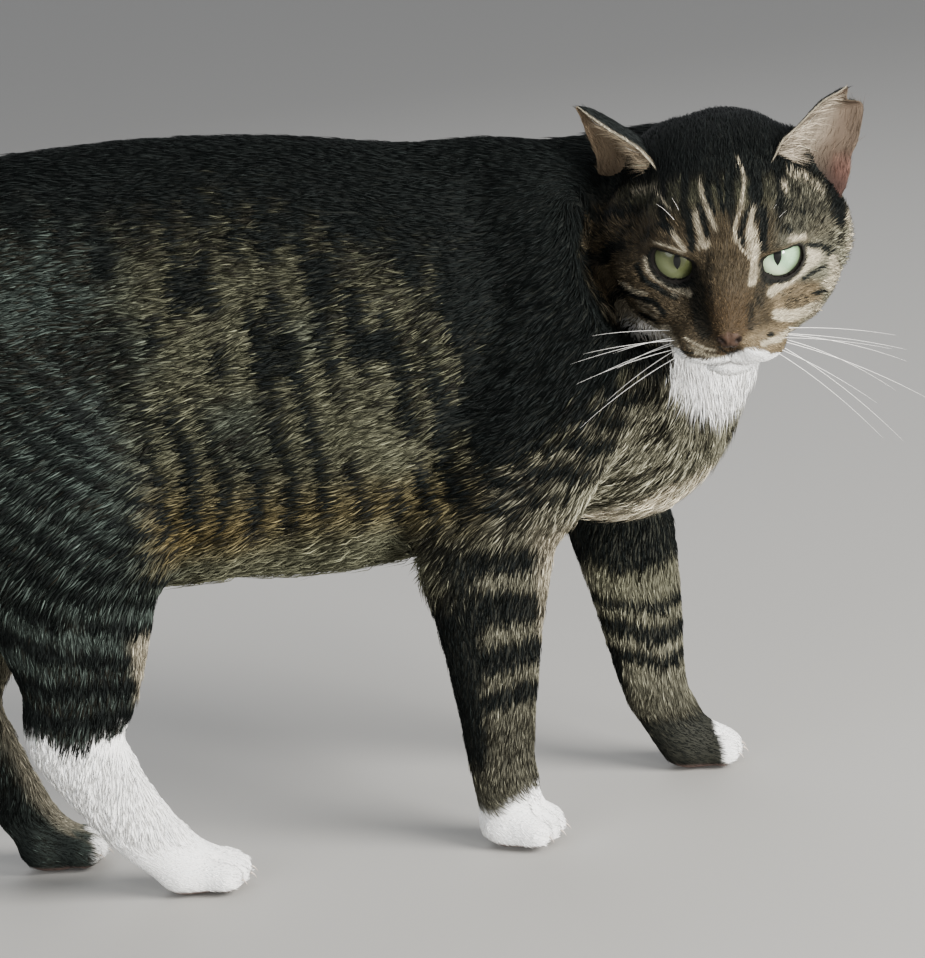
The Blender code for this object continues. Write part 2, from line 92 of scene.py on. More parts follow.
def dot(a, b):
    return (a * b).sum(axis=-1)


def blend(a, b, share):
    share = np.asarray(share)
    if share.ndim == 1 and (np.shape(a)[-1:] == (3,) or np.shape(b)[-1:] == (3,)):
        share = share[:, None]
    return a + (b - a) * share


def latticeValue(cell, seed):
    mixed = (cell[:, 0] * 73856093) ^ (cell[:, 1] * 19349663) ^ (cell[:, 2] * 83492791) ^ (seed * 7919317)
    mixed = (mixed ^ (mixed >> 13)) * 1274126177
    return ((mixed ^ (mixed >> 16)) & 0xFFFF) / 32767.5 - 1.0


def noise(points, size, seed=1):
    # Smooth noise from -1 to 1; size is the width of its spots along each axis
    at = points / np.asarray(size, float) + seed * 13.7
    cell = np.floor(at).astype(np.int64)
    part = at - cell
    part = part * part * (3.0 - 2.0 * part)
    total = np.zeros(len(points))
    for corner in range(8):
        step = np.array([corner & 1, (corner >> 1) & 1, (corner >> 2) & 1])
        share = np.prod(np.where(step == 1, part, 1.0 - part), axis=1)
        total += share * latticeValue(cell + step, seed)
    return total


def smoothPath(values, steps):
    values = np.asarray(values, float)
    ends = np.vstack([values[:1], values, values[-1:]])
    path = []
    for i in range(1, len(ends) - 2):
        a, b, c, d = ends[i - 1:i + 3]
        for k in range(steps + 1 if i == len(ends) - 3 else steps):
            t = k / steps
            path.append(0.5 * (2 * b + (c - a) * t + (2 * a - 5 * b + 4 * c - d) * t ** 2
                               + (3 * b - a - 3 * c + d) * t ** 3))
    return np.array(path)


def nearLine(points, line, width, soft):
    # 1 on a drawn line, fading to 0 beside it
    line = np.asarray(line, float)
    closest = np.full(len(points), 1e9)
    for a, b in zip(line[:-1], line[1:]):
        run = b - a
        t = np.clip(((points - a) @ run) / max(run @ run, 1e-9), 0, 1)
        closest = np.minimum(closest, np.linalg.norm(points - a - t[:, None] * run, axis=1))
    return 1.0 - ease(closest, width * 0.5, width * 0.5 + soft)


def ripple(angle):
    # A wave between 0 and 1
    return np.sin(angle) * 0.5 + 0.5


def plain(tone, count):
    return np.tile(tone, (count, 1))


class Wire:
    # A socket that can stand in a sum
    def __init__(self, finish, socket):
        self.finish = finish
        self.socket = socket

    def sum(self, operation, first, second):
        return self.finish.node("ShaderNodeMath", {"operation": operation}, {0: first, 1: second})

    def __add__(self, other):
        return self.sum("ADD", self, other)

    def __radd__(self, other):
        return self.sum("ADD", other, self)

    def __sub__(self, other):
        return self.sum("SUBTRACT", self, other)

    def __rsub__(self, other):
        return self.sum("SUBTRACT", other, self)

    def __mul__(self, other):
        return self.sum("MULTIPLY", self, other)

    def __rmul__(self, other):
        return self.sum("MULTIPLY", other, self)

    def __pow__(self, other):
        return self.sum("POWER", self, other)


class Finish:
    def __init__(self, name):
        self.material = bpy.data.materials.new(name)
        self.material.use_nodes = True
        self.tree = self.material.node_tree
        self.tree.nodes.clear()

    def node(self, kind, settings=None, sockets=None, out=0):
        made = self.tree.nodes.new(kind)
        for key, value in (settings or {}).items():
            if key == "stops":
                ramp = made.color_ramp
                while len(ramp.elements) < len(value):
                    ramp.elements.new(0.5)
                for element, (position, tone) in zip(ramp.elements, value):
                    element.position = position
                    element.color = (*tone, 1.0)
            else:
                setattr(made, key, value)
        for key, value in (sockets or {}).items():
            if isinstance(value, Wire):
                self.tree.links.new(value.socket, made.inputs[key])
            else:
                made.inputs[key].default_value = value
        return Wire(self, made.outputs[out])

    def attribute(self, name, out="Color"):
        return self.node("ShaderNodeAttribute", {"attribute_name": name}, {}, out)

    def mix(self, share, first, second, how="MIX"):
        return self.node("ShaderNodeMix", {"data_type": "RGBA", "blend_type": how},
                         {0: share, 6: first, 7: second}, 2)

    def between(self, value, low, high, start=0.0, end=1.0):
        return self.node("ShaderNodeMapRange", {"interpolation_type": "SMOOTHSTEP"},
                         {0: value, 1: low, 2: high, 3: start, 4: end})

    def close(self, **sockets):
        shader = self.tree.nodes.new("ShaderNodeBsdfPrincipled")
        for key, value in sockets.items():
            socket = shader.inputs[key.replace("_", " ")]
            if isinstance(value, Wire):
                self.tree.links.new(value.socket, socket)
            else:
                socket.default_value = value
        out = self.tree.nodes.new("ShaderNodeOutputMaterial")
        self.tree.links.new(shader.outputs[0], out.inputs[0])
        return self.material


def opaque(tone, share=1.0):
    return (*[c * share for c in tone], 1)


def meshFrom(name, points, loops, starts, smooth=True):
    mesh = bpy.data.meshes.new(name)
    mesh.vertices.add(len(points))
    mesh.vertices.foreach_set("co", np.ascontiguousarray(points, np.float32).ravel())
    mesh.loops.add(len(loops))
    mesh.loops.foreach_set("vertex_index", np.ascontiguousarray(loops, np.int32))
    mesh.polygons.add(len(starts))
    mesh.polygons.foreach_set("loop_start", np.ascontiguousarray(starts, np.int32))
    mesh.update(calc_edges=True)
    mesh.polygons.foreach_set("use_smooth", np.full(len(starts), smooth))
    return mesh


def triangleMesh(name, points, triangles, smooth=True):
    return meshFrom(name, points, np.asarray(triangles).ravel(), np.arange(0, 3 * len(triangles), 3), smooth)


def addColours(mesh, name, colours):
    layer = mesh.attributes.new(name, "FLOAT_COLOR", "POINT")
    full = np.ones((len(colours), 4), np.float32)
    full[:, :3] = colours
    layer.data.foreach_set("color", full.ravel())


def addValues(mesh, name, values):
    layer = mesh.attributes.new(name, "FLOAT", "POINT")
    layer.data.foreach_set("value", np.ascontiguousarray(values, np.float32))


def addVectors(mesh, name, values):
    layer = mesh.attributes.new(name, "FLOAT_VECTOR", "POINT")
    layer.data.foreach_set("vector", np.ascontiguousarray(values, np.float32).ravel())


def addMap(mesh, name, perLoop):
    layer = mesh.uv_layers.new(name=name)
    layer.data.foreach_set("uv", np.ascontiguousarray(perLoop, np.float32).ravel())


def addObject(name, data):
    made = bpy.data.objects.new(name, data)
    bpy.context.scene.collection.objects.link(made)
    return made


def showPiece(name, mesh, material, replaced=()):
    piece = addObject(name, mesh)
    piece.data.materials.append(material)
    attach(piece, "root")
    if replaced:
        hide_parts(*replaced)


def normalsOf(points, triangles):
    corners = points[triangles]
    across = np.cross(corners[:, 1] - corners[:, 0], corners[:, 2] - corners[:, 0])
    total = np.zeros_like(points)
    for k in range(3):
        for axis in range(3):
            total[:, axis] += np.bincount(triangles[:, k], across[:, axis], len(points))
    return unit(total)


def relax(values, edges, times, share=1.0):
    # Draws each value towards the mean of its neighbours
    values = np.array(values, float)
    flat = values.reshape(len(values), -1)
    degree = np.maximum(np.bincount(edges.ravel(), minlength=len(values)), 1)
    share = np.broadcast_to(np.asarray(share, float), (len(values),))[:, None]
    for _ in range(times):
        mean = np.empty_like(flat)
        for k in range(flat.shape[1]):
            column = flat[:, k]
            mean[:, k] = (np.bincount(edges[:, 0], column[edges[:, 1]], len(values))
                          + np.bincount(edges[:, 1], column[edges[:, 0]], len(values))) / degree
        flat = flat + (mean - flat) * share
    return flat.reshape(values.shape)


# The skin: one closed surface a coat's depth inside the solids of flesh, in centimetres and degrees
skinShape = {
    "swell": 0.03,
    "voxel": 0.28,
    "eyeFill": 1.225,
    "legTop": 13.2,
    "toeFoldDepth": 0.18,
    "depth": {"head": 0.08, "neck": 0.18, "torso": 0.18, "foreleg": 0.12, "hindleg": 0.13, "tail": 0.15},
    "lidHalfWidth": 0.80,
    "upperLidRise": 0.39,
    "lowerLidDrop": 0.72,
    "lidSlant": 16.0,
    "eyeTurn": 13.0,
    "mouthDepth": 0.13,
    "noseFoldDepth": 0.10,
}
tailLine = [(-4.4, 0, 24.2), (-6.8, 0, 24.3), (-9, 0, 22.8), (-10.9, 0.1, 20.4), (-12.3, 0.3, 17.6),
            (-13.7, 0.6, 14.4), (-15.6, 1, 11), (-18.4, 1.4, 8.8), (-21.8, 1.7, 8.3), (-24.6, 1.9, 9.3)]
groups = ["head", "neck", "torso", "forelegLeft", "forelegRight", "hindlegLeft", "hindlegRight", "tail"]


def tailSpine(cat):
    # How far down the tail each point is, which way the tail heads there, and the way out from its middle
    line = smoothPath(tailLine, 4)
    runs = unit(np.gradient(line, axis=0))
    lengths = np.concatenate([[0], np.cumsum(np.linalg.norm(np.diff(line, axis=0), axis=1))])
    nearest = np.argmin(((cat[:, None, :] - line[None]) ** 2).sum(axis=2), axis=1)
    out = cat - line[nearest]
    return lengths[nearest] + dot(out, runs[nearest]), runs[nearest], out


def kindOf(group):
    return group.replace("Left", "").replace("Right", "")


def groupOf(node):
    words = node.split("_")
    if words[0] in ("foreleg", "hindleg"):
        return groups.index(words[0] + words[1].capitalize())
    return groups.index(words[0])


fleshNodes = sorted(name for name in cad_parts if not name.startswith(("ear_", "eye_")))


def gatherFlesh():
    # One closed skin over all the nodes of flesh
    shape = bmesh.new()
    tree = []
    for name in fleshNodes:
        part = bmesh.new()
        part.from_mesh(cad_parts[name].data)
        bmesh.ops.remove_doubles(part, verts=part.verts, dist=1e-5)
        bmesh.ops.recalc_face_normals(part, faces=part.faces)
        part.normal_update()
        for vert in part.verts:
            tree.append((vert.co.copy(), groupOf(name)))
            vert.co += vert.normal * skinShape["swell"] * cm
        copy = bpy.data.meshes.new("flesh")
        part.to_mesh(copy)
        part.free()
        shape.from_mesh(copy)
        bpy.data.meshes.remove(copy)
    for side in (-1, 1):
        at = fromHead((headPlace["eye"][0], headPlace["eye"][1] * side, headPlace["eye"][2]))
        bmesh.ops.create_icosphere(shape, subdivisions=4, radius=skinShape["eyeFill"] * cm,
                                   matrix=Matrix.Translation(Vector(at)))
    mesh = bpy.data.meshes.new("flesh")
    shape.to_mesh(mesh)
    shape.free()
    holder = addObject("flesh", mesh)
    remesh = holder.modifiers.new("voxels", "REMESH")
    remesh.mode = "VOXEL"
    remesh.voxel_size = skinShape["voxel"] * cm
    bpy.context.view_layer.update()
    whole = bpy.data.meshes.new_from_object(holder.evaluated_get(bpy.context.evaluated_depsgraph_get()))
    bpy.data.objects.remove(holder)
    return whole, tree


def faceRegion(points, closer):
    local = toHead(points)
    x, y, z = local.T
    if not closer:
        feet = toCat(points)[:, 2] < 3.3
        return ((x > -1.2) & (np.abs(y) < 5.4) & (z > -5.0) & (z < 4.6) & (x < 7)) | feet
    eyes = (x > 1.5) & (np.abs(y) < 3.2) & (np.abs(z) < 1.5)
    muzzle = (x > 3.4) & (np.abs(y) < 2.8) & (z < -0.6) & (z > -4.4)
    return eyes | muzzle


def refine(mesh):
    shape = bmesh.new()
    shape.from_mesh(mesh)
    for closer in (False, True):
        shape.verts.ensure_lookup_table()
        inside = faceRegion(np.array([vert.co for vert in shape.verts]), closer)
        edges = [edge for edge in shape.edges if inside[edge.verts[0].index] and inside[edge.verts[1].index]]
        bmesh.ops.subdivide_edges(shape, edges=edges, cuts=1, use_grid_fill=True)
        shape.verts.index_update()
    bmesh.ops.triangulate(shape, faces=shape.faces)
    shape.verts.index_update()
    points = np.array([vert.co for vert in shape.verts])
    triangles = np.array([[vert.index for vert in face.verts] for face in shape.faces])
    edges = np.array([[vert.index for vert in edge.verts] for edge in shape.edges])
    shape.free()
    return points, triangles, edges


def labelPoints(points, tree):
    near = kdtree.KDTree(len(tree))
    for k, (at, label) in enumerate(tree):
        near.insert(at, k)
    near.balance()
    return np.array([tree[near.find(p)[1]][1] for p in points])


def lidFrame(side):
    turn = Matrix.Rotation(math.radians(skinShape["eyeTurn"] * side), 3, "Z")
    turn = turn @ Matrix.Rotation(math.radians(skinShape["lidSlant"] * side), 3, "X")
    return np.array(turn)


def lidOutline(count=96):
    # The gap between the lids: nearly straight above, round below
    t = np.arange(count) / count * 2 * math.pi
    y = skinShape["lidHalfWidth"] * np.cos(t)
    z = np.where(t <= math.pi, skinShape["upperLidRise"] * np.abs(np.sin(t)) ** 0.65,
                 skinShape["lowerLidDrop"] * np.sin(t))
    return np.column_stack([y, z])


def eyeMiddle(side):
    return np.array((headPlace["eye"][0], headPlace["eye"][1] * side, headPlace["eye"][2]))


def lidShare(local, side):
    # Below 1 inside the gap of the lids, above 1 outside it
    around = (local - eyeMiddle(side)) @ lidFrame(side)
    outline = lidOutline()
    angle = np.arctan2(outline[:, 1], outline[:, 0])
    order = np.argsort(angle)
    reach = np.linalg.norm(outline, axis=1)
    grow = 1.0 + 0.3 * (around[:, 0] - 0.35) / 2.05
    at = np.arctan2(around[:, 2], around[:, 1])
    limit = np.interp(at, angle[order], reach[order], period=2 * math.pi) * grow
    share = np.hypot(around[:, 1], around[:, 2]) / limit
    return np.where(around[:, 0] > 0.15, share, 9.0), around, limit


def nearestLid(local):
    return np.minimum(lidShare(local, -1)[0], lidShare(local, 1)[0])


def shapeLids(local):
    for side in (-1, 1):
        share, around, limit = lidShare(local, side)
        reach = np.linalg.norm(around, axis=1)
        flat = np.hypot(around[:, 1], around[:, 2])
        # Points close to the rim go onto it
        close = (np.abs(share - 1.0) * limit < 0.035) & (reach < 1.6)
        scale = np.where(close, 1.0 / share, 1.0)
        around[:, 1] *= scale
        around[:, 2] *= scale
        depth = np.sqrt(np.maximum(1.12 ** 2 - (flat * scale) ** 2, 0.01))
        around[:, 0] = np.where(close, depth, around[:, 0])
        inside = (share < 1.0) & ~close & (reach < 1.7)
        pocket = unit(around) * 0.90
        around = np.where(inside[:, None], pocket, around)
        # Lid edge rolls on to the eye
        lid = (share > 1.0) & ~close & (share < 1.7) & (reach < 1.8)
        wanted = 1.13 + 0.10 * ease(share, 1.0, 1.35)
        now = np.linalg.norm(around, axis=1)
        pull = (1.0 - ease(share, 1.25, 1.7)) * lid
        around = around * (1.0 + (wanted / np.maximum(now, 0.1) - 1.0) * pull)[:, None]
        changed = close | inside | lid
        back = around @ lidFrame(side).T + eyeMiddle(side)
        local = np.where(changed[:, None], back, local)
    return local


def noseMask(local):
    x, y, z = local.T
    half = np.interp(z, (-2.50, -2.36, -2.2, -2.0, -1.8, -1.66, -1.58),
                     (0.0, 0.12, 0.32, 0.47, 0.46, 0.30, 0.0))
    return ease(half - np.abs(y), -0.03, 0.05) * (x > 5.0)


def mouthGap(local):
    # Height above the line of the mouth, and how far round it runs
    x, y, z = local.T
    angle = np.degrees(np.arctan2(y, x - 3.1)) / 8.6
    turn = np.abs(angle)
    drop = -3.28 - 0.2 * np.sin(np.minimum(turn / 6.0, 1.0) * math.pi) + 0.045 * np.maximum(0, turn - 5)
    return z - drop, turn


# Each foot: middle, heading, half width, reach
feet = {
    "forelegRight": ((18.0, -3.3), -24.0, 1.5, 0.95),
    "forelegLeft": ((26.6, 3.0), -6.0, 1.45, 1.0),
    "hindlegRight": ((5.4, -2.9), -8.0, 1.5, 1.25),
    "hindlegLeft": ((0.2, 2.6), -4.0, 1.45, 1.15),
}


def toeFolds(cat):
    # The furrows between the toes
    folds = np.zeros(len(cat))
    for (x, y), turn, half, reach in feet.values():
        angle = math.radians(turn)
        ahead = (cat[:, 0] - x) * math.cos(angle) + (cat[:, 1] - y) * math.sin(angle)
        across = (cat[:, 1] - y) * math.cos(angle) - (cat[:, 0] - x) * math.sin(angle)
        on = ease(ahead, reach * 0.2, reach * 0.8) * (ahead < reach + 1.6) * (np.abs(across) < half * 1.4)
        on = on * ease(cat[:, 2], 2.1, 1.5)
        for place in (-0.5, 0.0, 0.5):
            folds = np.maximum(folds, on * np.exp(-((across - place * half) / 0.13) ** 2))
    return folds


def shapeMuzzle(local, normals):
    x, y, z = local.T
    gap, turn = mouthGap(local)
    front = ease(x, 2.9, 3.4)
    mouth = np.exp(-(gap / 0.085) ** 2) * (1 - ease(turn, 8.0, 9.5)) * front
    lower = np.exp(-((gap + 0.28) / 0.16) ** 2) * (1 - ease(turn, 5.0, 8.0)) * front
    upper = np.exp(-((gap - 0.28) / 0.2) ** 2) * (1 - ease(turn, 5.5, 8.5)) * front
    fold = np.exp(-(y / 0.07) ** 2) * ease(z, -3.32, -3.1) * ease(z, -2.25, -2.4) * (x > 4.2)
    nose = noseMask(local)
    push = -skinShape["mouthDepth"] * mouth - skinShape["noseFoldDepth"] * fold
    push = push + 0.03 * lower + 0.035 * upper + 0.05 * nose
    # Comma-shaped nostrils and the wings round them
    for side in (-1, 1):
        across = y * side
        hole = ((across - 0.27 - 0.35 * (z + 1.98)) / 0.10) ** 2 + ((z + 1.99) / 0.13) ** 2
        push = push - 0.20 * np.exp(-hole) * (x > 5.0)
        slit = ((across - 0.42) / 0.09) ** 2 + ((z + 2.10) / 0.05) ** 2
        push = push - 0.08 * np.exp(-slit) * (x > 4.9)
        wing = ((across - 0.30) / 0.2) ** 2 + ((z + 1.80) / 0.10) ** 2
        push = push + 0.03 * np.exp(-wing) * (x > 5.0)
    seam = np.exp(-(y / 0.035) ** 2) * nose
    push = push - 0.04 * seam
    return local + normals * push[:, None]


# The ears' inner and outer edges, from base to tip, in the head's axes
earShape = {
    "cup": 1.15,
    "thickness": 0.13,
    "rows": 10,
    "columns": 48,
    "left": {
        "inner": ((1.10, 1.80, 3.10), (0.52, 2.14, 3.50), (-0.22, 2.72, 3.75), (-1.45, 3.60, 4.12),
                  (-2.20, 4.26, 4.20), (-2.60, 4.58, 4.25)),
        "outer": ((-0.91, 4.48, 0.96), (-1.45, 4.62, 1.75), (-2.20, 5.00, 2.35), (-2.90, 5.20, 3.37),
                  (-2.48, 4.62, 3.78), (-2.66, 4.64, 4.16)),
    },
    "right": {
        "inner": ((0.64, -2.45, 2.43), (0.18, -2.85, 2.77), (-0.38, -3.31, 3.04), (-1.58, -4.26, 3.20),
                  (-2.53, -5.02, 3.40), (-3.16, -5.53, 3.60)),
        "outer": ((-2.51, -4.64, 0.70), (-2.56, -4.76, 1.40), (-2.69, -4.97, 2.05), (-2.95, -5.22, 2.60),
                  (-3.08, -5.38, 3.10), (-3.20, -5.58, 3.50)),
    },
}


def makeEar(edges):
    # A cupped shell in the head's axes, as a front and a back grid with one rim
    inner = smoothPath(edges["inner"], earShape["rows"])
    outer = smoothPath(edges["outer"], earShape["rows"])
    half = (outer[0] - inner[0]) / 2
    back = np.cross(inner[-1] - (inner[0] + outer[0]) / 2, half)
    back = unit(back)
    if back[0] > 0:
        back = -back
    sink = (inner[0] - inner[earShape["rows"]]) * 0.9
    inner = np.vstack([inner[:1] + sink, inner[:1] + sink * 0.5, inner])
    outer = np.vstack([outer[:1] + sink, outer[:1] + sink * 0.5, outer])
    rise = np.maximum(np.arange(len(inner)) - 2, 0) / (len(inner) - 3)
    cup = earShape["cup"] * (1.0 - rise ** 2) ** 0.75
    t = np.linspace(0, 1, earShape["columns"] + 1)
    middle = (inner[:, None] * (1 - t)[None, :, None] + outer[:, None] * t[None, :, None]
              + back * (cup[:, None] * (4 * t * (1 - t))[None, :])[:, :, None])
    # A small pouch folds out low on the outer edge
    pouch = np.exp(-((rise - 0.14) / 0.09) ** 2)[:, None] * np.exp(-((t - 0.97) / 0.06) ** 2)[None, :]
    middle = middle - back * (0.16 * pouch)[:, :, None]
    upward = np.gradient(middle, axis=0)
    across = np.gradient(middle, axis=1)
    normal = unit(np.cross(upward, across))
    if (normal * back).sum() < 0:
        normal = -normal
    thin = 0.25 + 0.75 * np.minimum(1.0, 5 * t * (1 - t))[None, :] * (1 - ease(rise, 0.85, 1.0))[:, None]
    offset = normal * (earShape["thickness"] / 2 * thin)[:, :, None]
    rows, columns = middle.shape[:2]
    backGrid = middle + offset
    frontGrid = middle - offset
    points = np.vstack([backGrid.reshape(-1, 3), frontGrid.reshape(-1, 3)])
    count = rows * columns
    triangles = []
    for i in range(rows - 1):
        for j in range(columns - 1):
            a, b = i * columns + j, i * columns + j + 1
            c, d = a + columns + 1, a + columns
            triangles += [(a, b, c), (a, c, d), (count + a, count + c, count + b),
                          (count + a, count + d, count + c)]
    rim = ([(i, 0) for i in range(rows)] + [(rows - 1, j) for j in range(1, columns)]
           + [(i, columns - 1) for i in range(rows - 2, -1, -1)]
           + [(0, j) for j in range(columns - 2, 0, -1)])
    ids = [i * columns + j for i, j in rim]
    for a, b in zip(ids, ids[1:] + ids[:1]):
        triangles += [(a, b, count + b), (a, count + b, count + a)]
    triangles = np.array(triangles)
    faceNormal = normalsOf(points, triangles)[:count].reshape(rows, columns, 3)
    if (faceNormal * back).sum() < 0:
        triangles = triangles[:, ::-1]
    frontShare = np.concatenate([np.zeros(count), np.ones(count)])
    riseOf = np.tile(np.repeat(rise, columns), 2)
    acrossOf = np.tile(np.tile(t, rows), 2)
    lieGrid = unit(upward)
    lie = np.vstack([lieGrid.reshape(-1, 3), lieGrid.reshape(-1, 3)])
    return points, triangles, frontShare, riseOf, acrossOf, lie


def lieOfCoat(points, normals, share, edges):
    cat = toCat(points)
    local = toHead(points)
    x, y, z = cat.T
    lie = np.zeros_like(points)
    # Head: from the nose outward, falling at the cheeks
    away = local - np.array((5.7, 0.0, -1.7))
    away = unit(away)
    low = ease(local[:, 2], 0.8, -2.0) * ease(np.abs(local[:, 1]), 2.0, 3.8)
    away[:, 2] -= 0.7 * low
    away[:, 0] -= 0.35 * low
    headLie = unit(away) @ headTurn.T
    # Neck and chest: back along the nape, down the front
    front = ease(dot(normals, unit(np.array((0.8, -0.35, -0.45)))), -0.1, 0.6)
    neckLie = blend(np.array((-0.85, 0.25, -0.42)), np.array((-0.12, 0.05, -1.0)), front)
    # Trunk: to the tail, turning down over shoulder, thigh and belly edge
    level = ease(z, 12.0, 27.0)
    down = 0.04 + 0.22 * (1 - level)
    down = down + 0.55 * ease(x, 17.5, 21.0) * ease(z, 27.0, 20.0)
    down = down + 0.60 * ease(x, 4.5, 0.5) * ease(z, 22.0, 15.0)
    under = ease(normals[:, 2], -0.3, -0.8)
    down = down * (1 - under)
    torsoLie = np.column_stack([-np.ones(len(x)), np.zeros(len(x)), -down])
    # Legs: down, then forward over the feet
    foot = ease(z, 3.4, 1.6)
    fore = np.column_stack([0.9 * foot - 0.22 * (1 - foot), np.zeros(len(x)), -0.35 - 0.65 * (1 - foot)])
    # Tail: towards its tip
    tailLie = tailSpine(cat)[1]
    byGroup = [headLie, neckLie, torsoLie, fore, fore, fore, fore, tailLie]
    for k, rows in enumerate(byGroup):
        lie += share[:, k:k + 1] * rows
    lie = unit(lie - normals * dot(lie, normals)[:, None])
    for _ in range(6):
        lie = relax(lie, edges, 2)
        lie = unit(lie - normals * dot(lie, normals)[:, None])
    return lie


coatColours = {
    "black": (0.0036, 0.0048, 0.0044),
    "darkBrown": (0.010, 0.009, 0.006),
    "grey": (0.032, 0.041, 0.035),
    "buff": (0.051, 0.051, 0.032),
    "ash": (0.128, 0.122, 0.086),
    "tan": (0.108, 0.082, 0.048),
    "rust": (0.056, 0.037, 0.019),
    "ochre": (0.062, 0.047, 0.019),
    "cream": (0.29, 0.255, 0.185),
    "white": (0.90, 0.89, 0.86),
}
colour = {name: np.array(value) for name, value in coatColours.items()}

# Strokes on the face, drawn across (cat's left) and up in the plane of the face: width, then points
faceStrokes = {
    "pale": [
        (0.07, [(0.45, 2.1), (0.62, 1.8), (0.65, 1.0), (0.5, 0.3), (0.3, -0.1), (0.25, -0.6), (0.5, -1.0),
                (0.8, -1.35)]),
        (0.12, [(0.95, 0.35), (0.9, 0.0), (0.75, -0.5)]),
        (0.42, [(0.85, -0.45), (0.85, -0.75), (1.0, -1.0)]),
        (0.26, [(1.0, -1.25), (0.95, -1.7), (0.85, -2.25)]),
        (0.50, [(2.85, -1.25), (3.2, -1.35), (3.0, -1.55)]),
        (0.28, [(2.95, -1.35), (2.8, -1.75), (2.35, -2.12), (1.85, -2.42), (1.5, -2.65)]),
        (0.48, [(3.8, -1.5), (3.9, -2.0), (3.6, -2.4)]),
        (0.26, [(4.5, 0.1), (4.6, -0.5), (4.4, -1.1)]),
        (0.46, [(1.7, -3.4), (2.2, -3.5), (2.8, -3.3), (3.2, -3.15)]),
        (0.20, [(1.2, -4.4), (1.8, -4.25), (2.2, -3.95)]),
        (0.14, [(2.3, 1.65), (2.9, 1.5), (3.3, 1.2), (3.5, 0.8)]),
        (0.16, [(2.1, 1.2), (2.2, 1.0)]),
        (0.20, [(2.3, -0.7), (2.8, -0.65)]),
        (0.12, [(-0.95, 1.3), (-0.8, 0.8), (-0.6, 0.2), (-0.4, -0.3)]),
        (0.20, [(-1.05, 0.3), (-1.0, -0.2), (-0.9, -0.6), (-1.0, -0.9), (-0.65, -0.85)]),
        (0.14, [(-1.9, -0.45), (-1.7, -0.7), (-1.55, -0.95)]),
        (0.07, [(-2.6, -0.7), (-2.0, -0.9), (-1.6, -1.1)]),
        (0.24, [(-2.95, -1.30), (-2.85, -1.65), (-2.45, -2.05), (-1.95, -2.32), (-1.45, -2.58)]),
        (0.12, [(-1.2, -4.68), (-0.6, -4.86), (-0.1, -4.98)]),
        (0.10, [(-3.9, -2.1), (-3.4, -2.4), (-3.0, -2.55)]),
        (0.07, [(-3.3, -2.8), (-2.8, -3.0), (-2.5, -3.25)]),
        (0.08, [(-3.2, -3.0), (-2.6, -3.4)]),
        (0.10, [(-3.1, -3.5), (-2.6, -3.8)]),
        (0.44, [(-2.3, -3.85), (-2.1, -4.2), (-2.0, -4.5)]),
        (0.10, [(-3.4, 1.15), (-3.0, 1.15), (-2.6, 1.2)]),
        (0.06, [(-2.5, 0.9), (-2.0, 0.5)]),
        (0.05, [(-1.6, -4.15), (-1.2, -4.35), (-0.5, -4.65)]),
        (0.05, [(-1.5, -4.4), (-0.9, -4.62)]),
    ],
    "dark": [
        (0.42, [(1.05, 1.8), (1.1, 1.2), (1.05, 0.75)]),
        (0.12, [(0.85, 0.4), (0.6, -0.1), (0.42, -0.6), (0.55, -0.9)]),
        (0.24, [(1.25, 0.3), (1.3, -0.4), (1.27, -1.0)]),
        (0.14, [(2.0, -0.3), (2.3, -0.38)]),
        (0.08, [(1.7, 0.9), (2.3, 0.5), (2.8, 0.1)]),
        (0.07, [(1.7, 0.5), (2.2, 0.15)]),
        (0.07, [(2.4, 0.95), (3.0, 0.5)]),
        (0.16, [(2.85, -1.0), (3.35, -0.97), (3.6, -1.12), (3.95, -1.6)]),
        (0.10, [(3.5, -1.70), (3.1, -1.95), (2.7, -2.2)]),
        (0.08, [(3.05, -2.75), (3.55, -2.5)]),
        (0.12, [(1.42, -4.1), (1.5, -4.1)]),
        (0.10, [(1.2, -4.3), (1.25, -4.32)]),
        (0.46, [(3.8, 1.4), (4.1, 0.6), (4.1, -0.1)]),
        (0.16, [(1.2, -1.7), (1.25, -2.1), (1.5, -2.3)]),
        (0.10, [(-0.75, 1.0), (-0.5, 0.5), (-0.45, 0.2)]),
        (0.14, [(-0.95, 0.6), (-0.8, 0.0), (-0.65, -0.5)]),
        (0.20, [(-1.25, 0.3), (-1.3, -0.3), (-1.25, -0.9)]),
        (0.24, [(-2.3, -0.1), (-2.0, -0.3)]),
        (0.14, [(-3.3, -1.5), (-3.1, -1.95), (-2.5, -2.38), (-1.9, -2.7)]),
        (0.14, [(-4.0, -2.3), (-3.4, -2.6), (-2.6, -2.9), (-2.3, -3.3)]),
        (0.08, [(-3.2, -3.25), (-2.6, -3.6)]),
        (0.26, [(-1.1, -1.9), (-1.3, -2.2), (-1.6, -2.25)]),
        (0.05, [(-1.7, -4.62), (-1.1, -4.74)]),
        (0.04, [(-0.4, -4.5), (-0.05, -4.74), (0.3, -4.6)]),
        (0.10, [(0.12, 1.7), (0.05, 1.1), (0.0, 0.4)]),
        (0.10, [(-0.35, 1.6), (-0.2, 0.9), (-0.15, 0.3)]),
    ],
    # strength, width, then points; the first two lines are painted shade beside the nose on the cat's right
    "soft": [
        (0.72, 0.40, [(-1.05, -2.0), (-1.1, -2.8), (-0.98, -3.4), (-0.85, -3.9)]),
        (0.50, 0.12, [(-0.66, -1.2), (-0.70, -2.2), (-0.62, -3.2)]),
        (0.55, 0.20, [(1.12, -2.4), (1.1, -2.95)]),
        (0.62, 0.10, [(0.78, -3.1), (0.72, -3.8)]),
        (0.45, 0.10, [(1.9, -2.65), (2.4, -2.55), (2.9, -2.3)]),
        (0.50, 0.40, [(2.2, -3.0), (2.6, -2.95)]),
    ],
}


